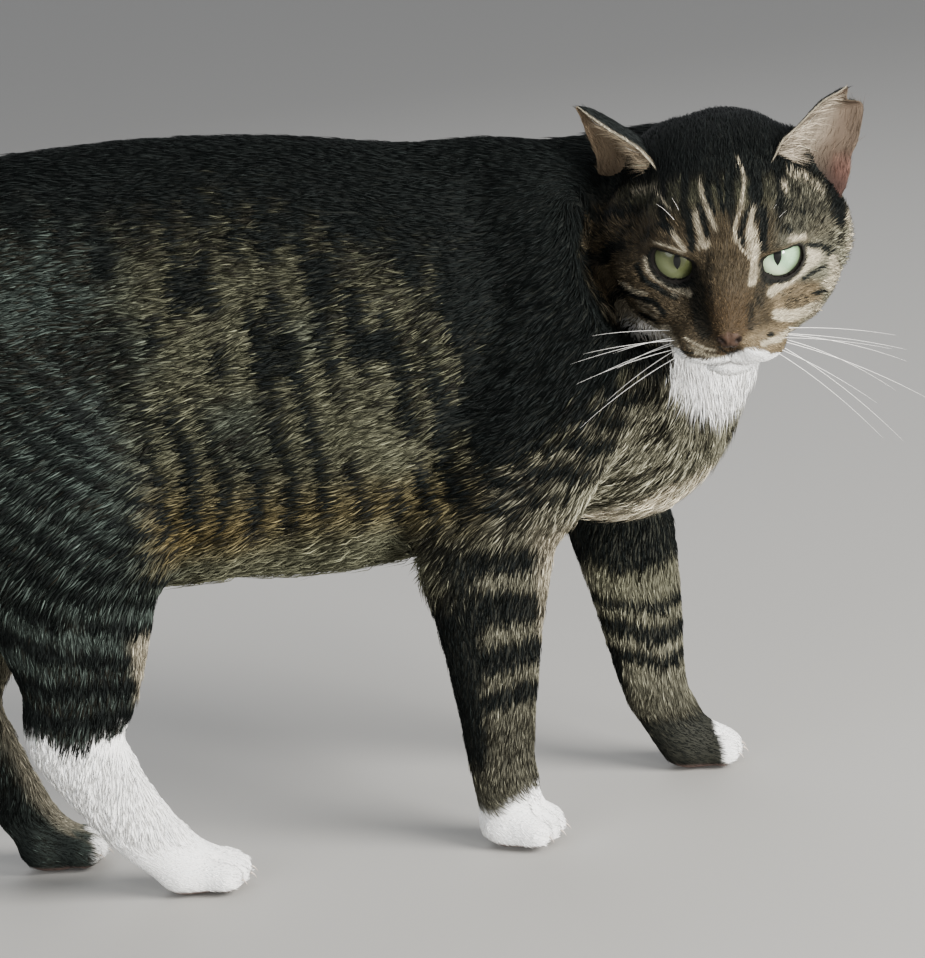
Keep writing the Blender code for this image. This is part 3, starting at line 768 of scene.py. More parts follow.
def headMarks(local, normals):
    x, y, z = local.T
    up = z * 0.906 - x * 0.423
    face = np.column_stack([y, up])
    wander = np.column_stack([noise(local, 0.5, 3), noise(local, 0.5, 4)]) * 0.05
    face = face + wander
    count = len(local)
    ground = plain(colour["tan"] * 0.42, count)
    ground = blend(ground, colour["buff"] * 0.60, ease(up, -0.3, 0.9))
    ground = blend(ground, colour["ash"] * 1.05, ease(y, 1.6, 2.6) * ease(z, 0.9, -0.3))
    cheek = ease(y, 1.2, 1.8) * ease(up, -2.0, -2.4) * ease(up, -3.7, -3.3) * ease(y, 3.5, 3.1)
    ground = blend(ground, colour["tan"] * 1.15, cheek)
    ground = blend(ground, colour["ash"] * 0.48, ease(y, 1.2, 2.2) * ease(z, -0.1, 0.9) * ease(up, 2.0, 1.2))
    # Darker on the cat's right side of the face: partly its own colour, partly painted shade
    ground = blend(ground, colour["tan"] * 0.42, ease(y, -1.2, -2.6) * ease(z, 1.4, 0.2))
    flecks = 0.30 * noise(local, 0.42, 8) + 0.22 * noise(local, (0.9, 0.22, 0.22), 9)
    ground = ground * np.exp(flecks)[:, None]
    bridge = (1 - ease(np.abs(y), 0.5, 1.1)) * ease(x, 3.2, 4.0) * ease(z, 0.9, 0.2)
    ground = blend(ground, blend(colour["rust"], colour["tan"] * 0.5, ease(z, -1.2, 0.2)) * 0.85, bridge)
    pads = ease(x, 3.2, 4.2) * ease(z, -1.7, -2.1) * ease(np.abs(y), 0.25, 0.6)
    ground = blend(ground, blend(colour["tan"] * 0.40, colour["tan"] * 1.3, ease(y, -0.3, 0.3)), pads)
    low = ease(z, -2.2, -3.4) * ease(x, 4.2, 2.5)
    ground = blend(ground, colour["cream"] * 0.5, low * (1 - pads))
    dark = 0.22 + 0.74 * ease(up + 0.5 * flecks, 0.75, 2.1)
    dark = np.maximum(dark, 0.90 * ease(x, 0.6, -1.8) * ease(z, -1.5, 0.8))
    # Fine dark lines over the forehead and crown
    lines = ripple(y * 7.4 + 0.7 * noise(local, 1.4, 5))
    dark = blend(dark, 0.92, ease(lines, 0.60, 0.92) * ease(up, -0.8, 0.3) * ease(np.abs(y), 2.9, 2.2) * 0.8)
    fine = ripple((y * 1.5 + up * 1.1) * 5.6 + 1.1 * noise(local, 0.9, 10))
    dark = np.maximum(dark, 0.62 * ease(fine, 0.62, 0.95) * ease(y, 1.3, 2.0) * ease(up, -1.0, -0.3))
    fine = ripple((up * 1.2 - y * 1.2) * 5.0 + 1.1 * noise(local, 0.9, 38))
    dark = np.maximum(dark, 0.66 * ease(fine, 0.58, 0.92) * ease(y, -1.3, -2.0) * ease(up, -1.2, -0.4))
    # Bands across the cheeks, darker on the cat's right where painted shade deepens them
    bands = ripple((z * 0.9 - x * 0.55) * 4.3 + 0.9 * noise(local, 1.2, 6))
    side = ease(np.abs(y), 2.4, 3.4) * ease(x, 2.6, 1.6)
    dark = np.maximum(dark, ease(bands, 0.62, 0.9) * side * blend(0.78, 0.56, ease(y, -1.0, 1.0)))
    white = ease(mouthGap(local)[0], 0.02, -0.12) * ease(x, 2.2, 3.4)
    white = np.maximum(white, ease(z, -3.3, -3.9) * ease(x, -0.6, 1.6))
    # Lips turn white from the nose down, less so on the right
    lipEdge = np.interp(y, (-2.2, -1.8, -1.5, -1.0, -0.3, 0.0, 0.3, 0.6, 1.0, 1.5, 2.0),
                        (-4.3, -4.5, -4.78, -4.86, -4.84, -4.76, -4.64, -4.5, -4.52, -4.7, -4.8))
    lip = ease(up + 0.05 * noise(local, 0.3, 7), lipEdge, lipEdge - 0.16) * ease(x, 2.8, 3.6)
    white = np.maximum(white, lip * (1 - noseMask(local)))
    facing = (x > -1.8) & (normals @ np.array((0.906, 0.0, 0.423)) > -0.15)
    pale = np.zeros(count)
    for width, line in faceStrokes["pale"]:
        pale = np.maximum(pale, nearLine(face, line, width * 0.66, min(0.10, 0.035 + width * 0.4)))
    inky = np.zeros(count)
    for width, line in faceStrokes["dark"]:
        inky = np.maximum(inky, nearLine(face, line, width, min(0.08, 0.03 + width * 0.35)))
    # Soft lines: tear lines, and painted shade beside the nose
    for strength, width, line in faceStrokes["soft"]:
        inky = np.maximum(inky, strength * nearLine(face, line, width, 0.30))
    # Painted shade: pale strokes are dimmer low on the cat's right cheek and over its right side
    pale = pale * (1 - 0.55 * ease(y, -1.9, -2.4) * ease(up, -2.3, -2.7) * ease(up, -3.7, -3.4))
    pale, inky = pale * facing, inky * facing
    ground = blend(ground, colour["cream"] * blend(0.78, 1.25, ease(y, -0.6, 0.6))[:, None], pale * 0.82)
    dark = dark * (1 - 0.9 * pale)
    dark = np.maximum(dark, inky * (1 - 0.85 * pale))
    # Dark margin and pale ring round each eye
    for side in (-1, 1):
        share = lidShare(local, side)[0]
        around = (local - eyeMiddle(side)) @ lidFrame(side)
        below = ease(around[:, 2], 0.15, -0.2)
        ring = ease(share, 1.6, 1.4) * ease(share, 1.12, 1.22)
        ground = blend(ground, colour["tan"] * 0.7, ring * 0.4 * (1 - below))
        edge = (0.07 + 0.05 * (side < 0)) * below
        dark = np.maximum(dark * (1 - 0.4 * ring * (1 - below)), ease(share, 1.18 + edge, 1.08 + edge * 0.8))
    return ground, dark, white


# Heights of the back and the underline at places along the trunk, then how far apart its bands are
trunk = {
    "at": (-7, -3, 0, 7, 12, 20, 27),
    "top": (25.2, 28, 28.8, 28.9, 28.3, 27.2, 22),
    "bottom": (18.2, 14.8, 13.7, 12.1, 11.2, 11.6, 14.2),
    "flankBand": 1.26,
    "thighBand": 1.30,
    "armBand": 1.15,
    "chestBand": 1.1,
}


def thighBands(cat):
    # Curved bands that sweep down and forward over the thigh, level lower down
    x, y, z = cat.T
    slope = 0.15 + 0.12 * np.clip(z - 10.0, 0, 8)
    sweep = z + slope * (x - 2.5) + 0.30 * noise(cat, (2.6, 5.0, 1.6), 15) + 0.12 * noise(cat, 0.6, 20)
    band = ease(ripple(2 * math.pi * sweep / trunk["thighBand"]), 0.34, 0.66)
    gap = ease(noise(cat, 2.4, 16), -0.85, -0.4)
    strong = ease(z, 22.5, 17.0)
    return blend(0.52, 0.10, strong) + blend(0.22, 0.90, strong) * band * gap


def torsoMarks(cat, normals):
    x, y, z = cat.T
    count = len(cat)
    top = np.interp(x, trunk["at"], trunk["top"])
    bottom = np.interp(x, trunk["at"], trunk["bottom"])
    level = (z - bottom) / (top - bottom)
    mottle = 0.22 * noise(cat, 2.1, 24) + 0.16 * noise(cat, 0.8, 25)
    ground = plain(colour["buff"] * 1.05, count) * (1 + mottle)[:, None]
    ground = blend(ground, colour["grey"] * 0.85, ease(noise(cat, 3.2, 36), 0.0, 0.7) * 0.6)
    ground = blend(ground, colour["buff"] * 0.55, ease(level + 0.3 * mottle, 0.56, 0.82))
    ground = blend(ground, colour["grey"] * 0.80, ease(x, 7.0, 3.8))
    ground = blend(ground, colour["ochre"] * 1.1, ease(level, 0.36, 0.12) * ease(x, 4.5, 6.5))
    ground = blend(ground, colour["buff"] * 1.35, ease(level, 0.22, 0.05) * ease(x, 9.5, 12.0))
    bend = 0.42 * noise(cat, (2.6, 6.0, 3.2), 11) + 0.30 * noise(cat, (1.0, 6.0, 1.7), 12)
    stripe = ripple(2 * math.pi * (x + bend + 0.09 * (z - 20)) / trunk["flankBand"])
    # Columns below, breaking into spots higher up
    spot = noise(cat, (1.1, 6.0, 1.5), 13) * 0.5 + 0.5
    column = noise(cat, (1.6, 6.0, 4.2), 26) * 0.5 + 0.5
    broken = blend(ease(column, 0.16, 0.42), ease(spot, 0.26, 0.52), ease(level, 0.35, 0.60))
    flank = ease(stripe, 0.32, 0.72) * (0.25 + 0.75 * broken)
    flank = np.maximum(flank, 0.9 * ease(spot, 0.60, 0.76) * ease(level, 0.25, 0.45))
    dark = 0.15 + 0.74 * flank * ease(level, 0.02, 0.22)
    band = ease(level + 0.30 * mottle + 0.06 * stripe, 0.62, 0.98)
    dark = np.maximum(dark, band)
    # It darkens towards the shoulder: partly the coat's own colour, partly painted shade from the head
    dark = dark + 0.34 * ease(x + 1.2 * noise(cat, 1.8, 37), 12.0, 17.0) * ease(level, 0.15, 0.4)
    thigh = ease(x, 6.4, 4.8) * ease(z, 24.5, 22.0)
    dark = blend(dark, thighBands(cat), thigh)
    # Shoulder and nape stay almost black: the coat's own dark, deepened with painted shadow from the head
    edge = np.interp(x, (15.5, 17.0, 18.2, 19.5, 21.5, 23.0, 24.5, 26.0),
                     (13.0, 11.5, 14.2, 15.6, 16.6, 17.2, 18.0, 18.5))
    ragged = 0.6 * noise(cat, 1.2, 19) + 0.5 * noise(cat, 0.5, 27)
    shoulder = ease(x + 1.3 * noise(cat, 1.7, 17), 16.2, 19.0) * ease(z + ragged, edge, edge + 1.6)
    dark = np.maximum(dark, shoulder * 0.96)
    onArm = ease(x, 17.2, 18.6) * (1 - shoulder)
    arm = ripple(2 * math.pi * (z + 0.35 * (x - 18.0) + 0.5 * ragged) / trunk["armBand"])
    arm = ease(arm, 0.35, 0.75)
    ground = blend(ground, colour["ash"] * 0.58, onArm)
    dark = blend(dark, 0.36 + 0.56 * arm + 0.12 * ease(z, 13.5, 16.0), onArm)
    rump = ease(x, 0.5, -3.0) * ease(level, 0.62, 0.82)
    dark = np.maximum(dark, rump * 0.85)
    place = cat[:, [0, 2]] + 0.25 * noise(cat, 1.0, 18)[:, None]
    pale = nearLine(place, [(13.3, 17.9), (14.8, 16.8)], 1.2, 0.9) * (y < 0)
    ground = blend(ground, colour["buff"] * 1.15, pale)
    dark = dark * (1 - 0.7 * pale)
    belly = ease(normals[:, 2], -0.45, -0.85)
    ground = blend(ground, colour["buff"] * 1.5, belly)
    dark = dark * (1 - 0.6 * belly)
    ground, dark = chestMarks(cat, ground, dark)
    return ground, dark, np.zeros(count)


def chestMarks(cat, ground, dark):
    # A pale ticked patch below the throat, running back above the forelegs
    x, y, z = cat.T
    ragged = 0.6 * noise(cat, 1.0, 28) + 0.45 * noise(cat, 0.4, 29)
    place = cat[:, [0, 2]] + ragged[:, None]
    patch = nearLine(place, [(28.4, 14.6), (25.6, 13.8), (22.6, 12.8), (21.2, 12.3)], 2.0, 1.9)
    higher = nearLine(place, [(28.2, 16.2), (25.8, 16.4), (24.4, 15.2), (23.0, 13.8)], 1.6, 1.3)
    patch = np.maximum(patch, 0.85 * higher)
    ground = blend(ground, colour["ash"] * 1.5, patch)
    rows = ripple(2 * math.pi * (z - 0.3 * x + 1.2 * ragged) / trunk["chestBand"])
    dark = blend(dark, 0.14 + 0.40 * ease(rows, 0.45, 0.85), patch)
    # A paler line marks the edge of the breast
    place = cat[:, [0, 2]] + 0.25 * ragged[:, None]
    line = nearLine(place, [(28.2, 13.7), (25.5, 12.6), (22.2, 11.3)], 0.6, 0.6) * (y < 0.5)
    ground = blend(ground, colour["cream"] * 1.5, line)
    return ground, dark * (1 - 0.9 * line)


def neckMarks(cat, normals):
    x, y, z = cat.T
    ground, dark, white = torsoMarks(cat, normals)
    # The neck darkens upward: partly the coat's dark nape, partly painted shade under the head
    dark = np.maximum(dark, 0.96 * ease(z + 0.6 * noise(cat, 1.1, 21), 17.4, 19.2))
    ragged = 0.45 * noise(cat, 0.9, 22) + 0.25 * noise(cat, 0.4, 23)
    bib = ease(np.hypot((x - 28.2) / 2.7, (z - 18.0) / 2.3) + 0.25 * ragged, 1.05, 0.80)
    white = np.maximum(white, bib * ease(normals[:, 1], 0.35, 0.1))
    place = cat[:, [0, 2]] + 0.2 * ragged[:, None]
    ridge = nearLine(place, [(26.7, 13.4), (24.4, 12.2), (22.3, 11.4)], 0.9, 0.7)
    white = np.maximum(white, 0.45 * ridge)
    return ground, dark, white


# Height and width of each dark ring
legRings = {
    "forelegRight": ((12.2, 1.2), (10.1, 1.25), (8.2, 1.1), (6.6, 0.85),
                     (5.1, 0.36), (4.0, 0.26), (3.0, 0.22)),
    "forelegLeft": ((10.6, 2.6), (7.7, 0.5), (6.5, 0.8), (5.3, 0.6)),
}


def legMarks(cat, normals, leg):
    x, y, z = cat.T
    count = len(cat)
    ragged = 0.30 * noise(cat, 0.7, 31) + 0.15 * noise(cat, 0.3, 32)
    wave = 0.30 * noise(cat, (1.6, 2.0, 2.2), 33)
    if leg == "forelegRight":
        ground = plain(colour["ash"] * 0.75, count)
        ground = blend(ground, colour["ash"] * 0.50, ease(z, 7.0, 4.8))
        dark = 0.24 + 0.10 * ease(z, 6.5, 4.5)
        for at, wide in legRings[leg]:
            curve = z - at + 0.07 * (x - 18.0) ** 2 + 1.3 * wave
            strength = 0.95 if wide > 0.4 else 0.5
            dark = np.maximum(dark, strength * (1 - ease(np.abs(curve), wide * 0.40, wide * 0.72)))
        dark = np.maximum(dark, 0.92 * ease(x + 0.5 * wave, 17.7, 16.6) * ease(z, 2.4, 4.5))
        pale = ease(x, 19.0, 20.0) * ease(z, 7.5, 9.0)
        ground = blend(ground, colour["cream"] * 0.9, pale)
        dark = dark * (1 - 0.7 * pale)
        white = ease(z - 0.35 * (x - 17.0) + ragged, 2.1, 1.5)
    elif leg == "forelegLeft":
        ground = plain(colour["ash"] * 0.95, count)
        ground = blend(ground, colour["ash"] * 0.52, ease(z, 5.0, 3.0))
        dark = 0.18 * np.ones(count)
        for at, wide in legRings[leg]:
            curve = z - at + 1.6 * wave + 0.10 * (x - 24.5)
            dark = np.maximum(dark, 0.92 * (1 - ease(np.abs(curve), wide * 0.40, wide * 0.75)))
        dark = np.maximum(dark, 0.9 * ease(x, 24.1, 23.5) * ease(z, 6.5, 5.0))
        dark = np.maximum(dark, 0.80 * ease(z, 3.2, 2.2))
        white = ease(x + 0.4 * ragged, 27.15, 27.45) * ease(z, 2.7, 2.2)
    elif leg == "hindlegRight":
        ground = plain(colour["grey"], count)
        dark = thighBands(cat) + 0.48 * ease(z, 11.5, 9.0) + 0.15 * noise(cat, (0.8, 1.0, 2.0), 34)
        pale = ease(x, 3.6, 4.3) * ease(z, 7.6, 8.6) * ease(z, 11.5, 10.5)
        ground = blend(ground, colour["cream"] * 0.8, pale)
        dark = dark * (1 - 0.8 * pale)
        white = ease(z - 6.6 - 0.55 * np.abs(x - 1.7) + 1.2 * ragged, 0.35, -0.35)
    else:
        ground = plain(colour["grey"] * 1.2, count)
        dark = 0.62 + 0.3 * noise(cat, (0.8, 1.0, 2.0), 35)
        front = ease(normals[:, 0], 0.2, 0.7)
        ground = blend(ground, colour["cream"] * 0.7, front * 0.7)
        dark = dark * (1 - 0.6 * front)
        white = ease(x + ragged, 1.3, 1.8) * ease(z, 2.2, 1.6)
    inner = ease(normals[:, 1] * (1 if leg.endswith("Right") else -1), 0.3, 0.8) * ease(z, 5, 9)
    ground = blend(ground, colour["buff"] * 1.6, inner * 0.6)
    return ground, np.clip(dark, 0, 1), white


tailRings = {"apart": 2.7, "darkTip": (26.5, 28.5)}


def tailMarks(cat, normals):
    along = tailSpine(cat)[0]
    ground = plain(colour["grey"] * 1.3, len(cat))
    ring = ripple(2 * math.pi * (along + 0.25 * noise(cat, 1.2, 41)) / tailRings["apart"])
    dark = 0.18 + 0.77 * ease(ring, 0.40, 0.70)
    dark = np.maximum(dark, ease(along, *tailRings["darkTip"]))
    upper = ease(normals[:, 2], 0.5, 0.9)
    dark = np.maximum(dark, 0.8 * upper * ease(along, 12, 6))
    return ground, dark, np.zeros(len(cat))


def markings(points, normals, share):
    # Ground colour, how dark and how white the coat is at each point
    cat, local = toCat(points), toHead(points)
    ground = np.zeros((len(points), 3))
    dark = np.zeros(len(points))
    white = np.zeros(len(points))
    for k, group in enumerate(groups):
        chosen = np.flatnonzero(share[:, k] > 0.004)
        if group == "head":
            rows = headMarks(local[chosen], normals[chosen] @ headTurn)
        elif group == "neck":
            rows = neckMarks(cat[chosen], normals[chosen])
        elif group == "torso":
            rows = torsoMarks(cat[chosen], normals[chosen])
        elif group == "tail":
            rows = tailMarks(cat[chosen], normals[chosen])
        else:
            rows = legMarks(cat[chosen], normals[chosen], group)
        part = share[chosen, k]
        ground[chosen] += rows[0] * part[:, None]
        dark[chosen] += rows[1] * part
        white[chosen] += rows[2] * part
    return ground, np.clip(dark, 0, 1), np.clip(white, 0, 1)


# One chart of the unwrap for each part of the body: left, low, wide, high
charts = {
    "head": (0.01, 0.01, 0.38, 0.38),
    "neck": (0.41, 0.01, 0.27, 0.25),
    "torso": (0.01, 0.41, 0.98, 0.44),
    "forelegLeft": (0.41, 0.28, 0.13, 0.11),
    "forelegRight": (0.56, 0.28, 0.13, 0.11),
    "hindlegLeft": (0.71, 0.28, 0.13, 0.11),
    "hindlegRight": (0.86, 0.28, 0.13, 0.11),
    "tail": (0.01, 0.87, 0.98, 0.12),
    "earBack": (0.70, 0.01, 0.14, 0.25),
    "earFront": (0.85, 0.01, 0.14, 0.25),
}


def unwrap(points, group):
    # Each point as a turn about the part's own axis and a way along it
    cat, local = toCat(points), toHead(points)
    x, y, z = cat.T
    if group == "head":
        turn = np.arctan2(local[:, 1], local[:, 2] + 0.4) / (2 * math.pi) + 0.5
        along = (local[:, 0] + 5.5) / 12.0
    elif group == "neck":
        axis = unit(np.array((0.9, -0.25, 0.3)))
        out = cat - np.array((23.0, 0.0, 20.0))
        along = (out @ axis + 9.0) / 18.0
        turn = np.arctan2(out[:, 1] + 0.3 * out[:, 0], out[:, 2]) / (2 * math.pi) + 0.5
    elif group == "torso":
        middle = np.interp(x, (-7, 0, 10, 27), (21.8, 21.2, 20.2, 18.4))
        along = (x + 8.0) / 38.0
        turn = np.arctan2(y, z - middle) / (2 * math.pi) + 0.5
    elif group == "tail":
        along, heading, out = tailSpine(cat)
        along = (along + 2.0) / 36.0
        side = np.cross(heading, (0.0, 1.0, 0.0))
        turn = np.arctan2(out[:, 1], dot(out, side)) / (2 * math.pi) + 0.5
    else:
        centre = {"forelegLeft": (25.0, 3.3), "forelegRight": (17.7, -3.8),
                  "hindlegLeft": (-1.6, 3.0), "hindlegRight": (2.4, -3.5)}[group]
        along = z / 15.0
        turn = np.arctan2(y - centre[1], x - centre[0]) / (2 * math.pi) + 0.5
    return np.column_stack([np.clip(along, 0, 1), np.clip(turn, 0, 1)])


def onChart(flat, group):
    left, low, wide, high = charts[group]
    return np.column_stack([left + flat[:, 0] * wide, low + flat[:, 1] * high])


whole, tree = gatherFlesh()
print("flesh gathered:", len(whole.vertices), "points")
skinPoints, skinTriangles, skinEdges = refine(whole)
fine = faceRegion(skinPoints, False).astype(float)
skinPoints = relax(skinPoints, skinEdges, 3, 0.5)
skinPoints = relax(skinPoints, skinEdges, 8, 0.5 * fine)
labels = labelPoints(skinPoints, tree)
# The tops of the legs are marked and covered as the trunk is
legs = [k for k, group in enumerate(groups) if "leg" in group]
onLegTop = np.isin(labels, legs) & (toCat(skinPoints)[:, 2] > skinShape["legTop"])
labels = np.where(onLegTop, groups.index("torso"), labels)
skinShare = relax(np.eye(len(groups))[labels], skinEdges, 10)
skinNormals = normalsOf(skinPoints, skinTriangles)
depth = np.array([skinShape["depth"][kindOf(group)] for group in groups])
inset = (skinShare * depth).sum(axis=1)
inset = inset * (1 - 0.8 * ease(nearestLid(toHead(skinPoints)), 2.0, 1.2))
inset = inset * (1 - 0.9 * noseMask(toHead(skinPoints)))
inset = inset * (0.6 + 0.4 * ease(toCat(skinPoints)[:, 2], 0.6, 2.0))
skinPoints = skinPoints - skinNormals * (inset * cm)[:, None]
headNormals = normalsOf(skinPoints, skinTriangles) @ headTurn
face = faceRegion(skinPoints, True) | (skinShare[:, 0] > 0.5)
local = toHead(skinPoints)
shaped = shapeLids(shapeMuzzle(local, headNormals))
skinPoints = np.where(face[:, None], fromHead(shaped), skinPoints)
foldDepth = skinShape["toeFoldDepth"] * cm * toeFolds(toCat(skinPoints))
skinPoints = skinPoints - skinNormals * foldDepth[:, None]
skinNormals = normalsOf(skinPoints, skinTriangles)
lie = lieOfCoat(skinPoints, skinNormals, skinShare, skinEdges)
ground, dark, white = markings(skinPoints, skinNormals, skinShare)
print("skin shaped:", len(skinTriangles), "triangles")


def earPlace(name, across, rise):
    # The left ear has the lower half of the ears' charts, the right ear the upper half
    return np.column_stack([across * 0.46 + 0.02 + 0.5 * (name == "right"), rise * 0.9 + 0.05])


ears = {}
for name, side in (("left", 1), ("right", -1)):
    points, triangles, frontShare, rise, across, earLie = makeEar(earShape[name])
    ears[name] = {
        "points": fromHead(points), "triangles": triangles, "front": frontShare, "rise": rise,
        "across": across, "lie": earLie @ headTurn.T, "side": side,
    }
    ears[name]["normals"] = normalsOf(ears[name]["points"], triangles)


# The bare insides of the ears
earTones = {
    "left": {"deep": (0.075, 0.054, 0.038), "pale": (0.128, 0.103, 0.076), "pink": (0.15, 0.078, 0.060)},
    "right": {"deep": (0.16, 0.115, 0.072), "pale": (0.46, 0.36, 0.25)},
}


def earColours(ear, points):
    # Ground, dark and white over an ear: bare and pinkish within, furred behind
    rise, across, front = ear["rise"], ear["across"], ear["front"]
    mottled = noise(toHead(points), 0.6, 51)
    tone = {key: np.array(value) for key, value in earTones["left" if ear["side"] > 0 else "right"].items()}
    if ear["side"] > 0:
        inside = blend(tone["deep"], tone["pale"], ease(across, 0.2, 0.5) * ease(across, 0.85, 0.6))
        inside = blend(inside, tone["pink"], ease(across, 0.82, 0.95) * ease(rise, 0.32, 0.1))
    else:
        inside = blend(tone["deep"], tone["pale"], ease(across, 0.8, 0.3))
    streaks = noise(np.column_stack([across * 9 + rise * 2, rise * 2.2, rise * 0]), 0.5, 52)
    inside = inside * (1 + 0.18 * mottled + 0.28 * streaks)[:, None]
    inside = inside * (1 - (0.75 if ear["side"] > 0 else 0.4) * ease(rise, 0.30, 0.0))[:, None]
    outside = plain(colour["grey"] * 0.5, len(points))
    edge = ease(np.minimum(across, 1 - across), 0.06, 0.0)
    ground = blend(outside, inside, front)
    rimTone = colour["cream"] * (0.7 if ear["side"] > 0 else 1.4)
    ground = blend(ground, rimTone, edge * (across < 0.5) * 0.9)
    ground = blend(ground, colour["tan"], edge * (across > 0.5) * (1 - front) * 0.7)
    dark = (1 - front) * (0.85 - 0.7 * edge)
    return ground, dark, np.zeros(len(points))


def bareColour(ground, dark, white):
    body = blend(ground * 0.8, colour["black"], np.clip(dark * 0.9, 0, 1))
    return blend(body, colour["white"] * 0.85, white)


print("ears shaped")

peltFinish = {"specular": 0.08, "grain": 900.0}


def makePelt():
    finish = Finish("pelt")
    pelt = finish.attribute("pelt")
    grain = finish.node("ShaderNodeTexNoise", {"noise_dimensions": "3D"},
                        {"Scale": peltFinish["grain"], "Detail": 2.0, "Roughness": 0.6}, "Fac")
    shade = finish.between(grain, 0.25, 0.75, 0.86, 1.12)
    toned = finish.node("ShaderNodeVectorMath", {"operation": "SCALE"}, {0: pelt, 3: shade})
    bump = finish.node("ShaderNodeBump", {}, {"Strength": 0.25, "Distance": 0.0002, "Height": grain})
    return finish.close(Base_Color=toned, Roughness=finish.between(grain, 0.2, 0.8, 0.60, 0.78),
                        Normal=bump, Specular_IOR_Level=peltFinish["specular"])


def makeSkinFinish():
    finish = Finish("skin")
    pelt = finish.attribute("pelt")
    leather = finish.attribute("leather", "Fac")
    grain = finish.node("ShaderNodeTexNoise", {}, {"Scale": 1500.0, "Detail": 3.0, "Roughness": 0.6}, "Fac")
    pebble = finish.node("ShaderNodeTexVoronoi", {"feature": "SMOOTH_F1"}, {"Scale": 1900.0}, "Distance")
    shade = finish.between(grain, 0.25, 0.75, 0.8, 1.15)
    toned = finish.node("ShaderNodeVectorMath", {"operation": "SCALE"}, {0: pelt, 3: shade})
    height = grain * (1 - leather) + pebble * leather
    bump = finish.node("ShaderNodeBump", {}, {"Strength": 0.5, "Distance": 0.0003, "Height": height})
    rough = finish.between(leather, 0.0, 1.0, 0.75, 0.52)
    return finish.close(Base_Color=toned, Roughness=rough, Normal=bump,
                        Specular_IOR_Level=0.12)


peltMaterial = makePelt()
skinMaterial = makeSkinFinish()

bareTones = {
    "nose": (0.040, 0.023, 0.015),
    "noseEdge": (0.008, 0.005, 0.0035),
    "nostril": (0.01, 0.007, 0.006),
    "mouth": (0.03, 0.02, 0.017),
    "pad": (0.10, 0.065, 0.055),
    "lid": (0.006, 0.005, 0.004),
}
bareTone = {name: np.array(value) for name, value in bareTones.items()}

# The ears are joined to the skin as one piece
allPoints = np.vstack([skinPoints, ears["left"]["points"], ears["right"]["points"]])
starts = {"left": len(skinPoints), "right": len(skinPoints) + len(ears["left"]["points"])}
allTriangles = np.vstack([skinTriangles] + [ear["triangles"] + starts[name] for name, ear in ears.items()])
local = toHead(skinPoints)
leather = noseMask(local) * (dot(skinNormals @ headTurn, np.array((1.0, 0, 0.2))) > -0.2)
padMask = ease(skinNormals[:, 2], -0.55, -0.85) * ease(toCat(skinPoints)[:, 2], 0.5, 0.2)
bare = bareColour(ground, dark, white)
noseTone = blend(bareTone["nose"], bareTone["noseEdge"],
                 np.maximum(ease(np.abs(local[:, 1]), 0.26, 0.44), ease(local[:, 2], -2.1, -2.35)))
# Painted shade darkens the nostrils' hollows
hollow = np.zeros(len(skinPoints))
for side in (-1, 1):
    nostril = ((local[:, 1] * side - 0.27) / 0.10) ** 2 + ((local[:, 2] + 1.99) / 0.12) ** 2
    hollow = np.maximum(hollow, np.exp(-nostril))
noseTone = blend(noseTone, bareTone["nostril"], hollow)
bare = blend(bare, noseTone, leather)
gap, turn = mouthGap(local)
mouthLine = np.exp(-(gap / 0.07) ** 2) * (local[:, 0] > 3.2) * (skinShare[:, 0] > 0.5) * (turn < 9)
bare = blend(bare, bareTone["mouth"], mouthLine * 0.85)
bare = blend(bare, bareTone["pad"], padMask)
bare = blend(bare, bareTone["lid"], ease(nearestLid(local), 1.14, 1.05))
parts = [bare] + [bareColour(*earColours(ear, ear["points"])) for ear in ears.values()]
skinMesh = triangleMesh("skin", allPoints, allTriangles)
addColours(skinMesh, "pelt", np.vstack(parts))
addValues(skinMesh, "leather", np.concatenate([np.maximum(leather, padMask),
                                               np.zeros(len(allPoints) - len(skinPoints))]))

# The skin's own unwrap, face by face so that no face spans a seam
corner = np.zeros((len(allTriangles), 3, 2))
faceGroup = skinShare[skinTriangles].sum(axis=1).argmax(axis=1)
for k, group in enumerate(groups):
    chosen = np.flatnonzero(faceGroup == k)
    flat = unwrap(skinPoints[skinTriangles[chosen]].reshape(-1, 3), group).reshape(-1, 3, 2)
    wide = flat[:, :, 1].max(axis=1) - flat[:, :, 1].min(axis=1)
    seam = wide > 0.5
    flat[seam, :, 1] = np.where(flat[seam, :, 1] < 0.5, 1.0, flat[seam, :, 1])
    corner[chosen] = onChart(flat.reshape(-1, 2), group).reshape(-1, 3, 2)
first = len(skinTriangles)
for name, ear in ears.items():
    rows = ear["triangles"]
    flat = earPlace(name, ear["across"], ear["rise"])
    isFront = ear["front"][rows].mean(axis=1) > 0.5
    for group, choose in (("earFront", isFront), ("earBack", ~isFront)):
        ids = np.flatnonzero(choose)
        corner[first + ids] = onChart(flat[rows[ids]].reshape(-1, 2), group).reshape(-1, 3, 2)
    first += len(rows)
addMap(skinMesh, "OFBake", corner.reshape(-1, 2))
showPiece("skin", skinMesh, skinMaterial, fleshNodes + ["ear_left", "ear_right"])
print("skin piece made:", len(allTriangles), "triangles")

coat = {
    "seed": 7,
    "patch": 0.0015,
    "most": 185000,
    "shortBelow": 0.46,
    "straight": 0.65,
    "toeShade": 0.80,
    "aboveFloor": 0.0002,
    # tufts to a square centimetre, length, width and lift of each
    "head": (150, 0.56, 0.036, 10),
    "neck": (88, 0.92, 0.055, 11),
    "torso": (82, 0.86, 0.058, 10),
    "foreleg": (88, 0.58, 0.045, 9),
    "hindleg": (84, 0.62, 0.046, 9),
    "tail": (68, 0.95, 0.064, 11),
}
chance = np.random.default_rng(coat["seed"])


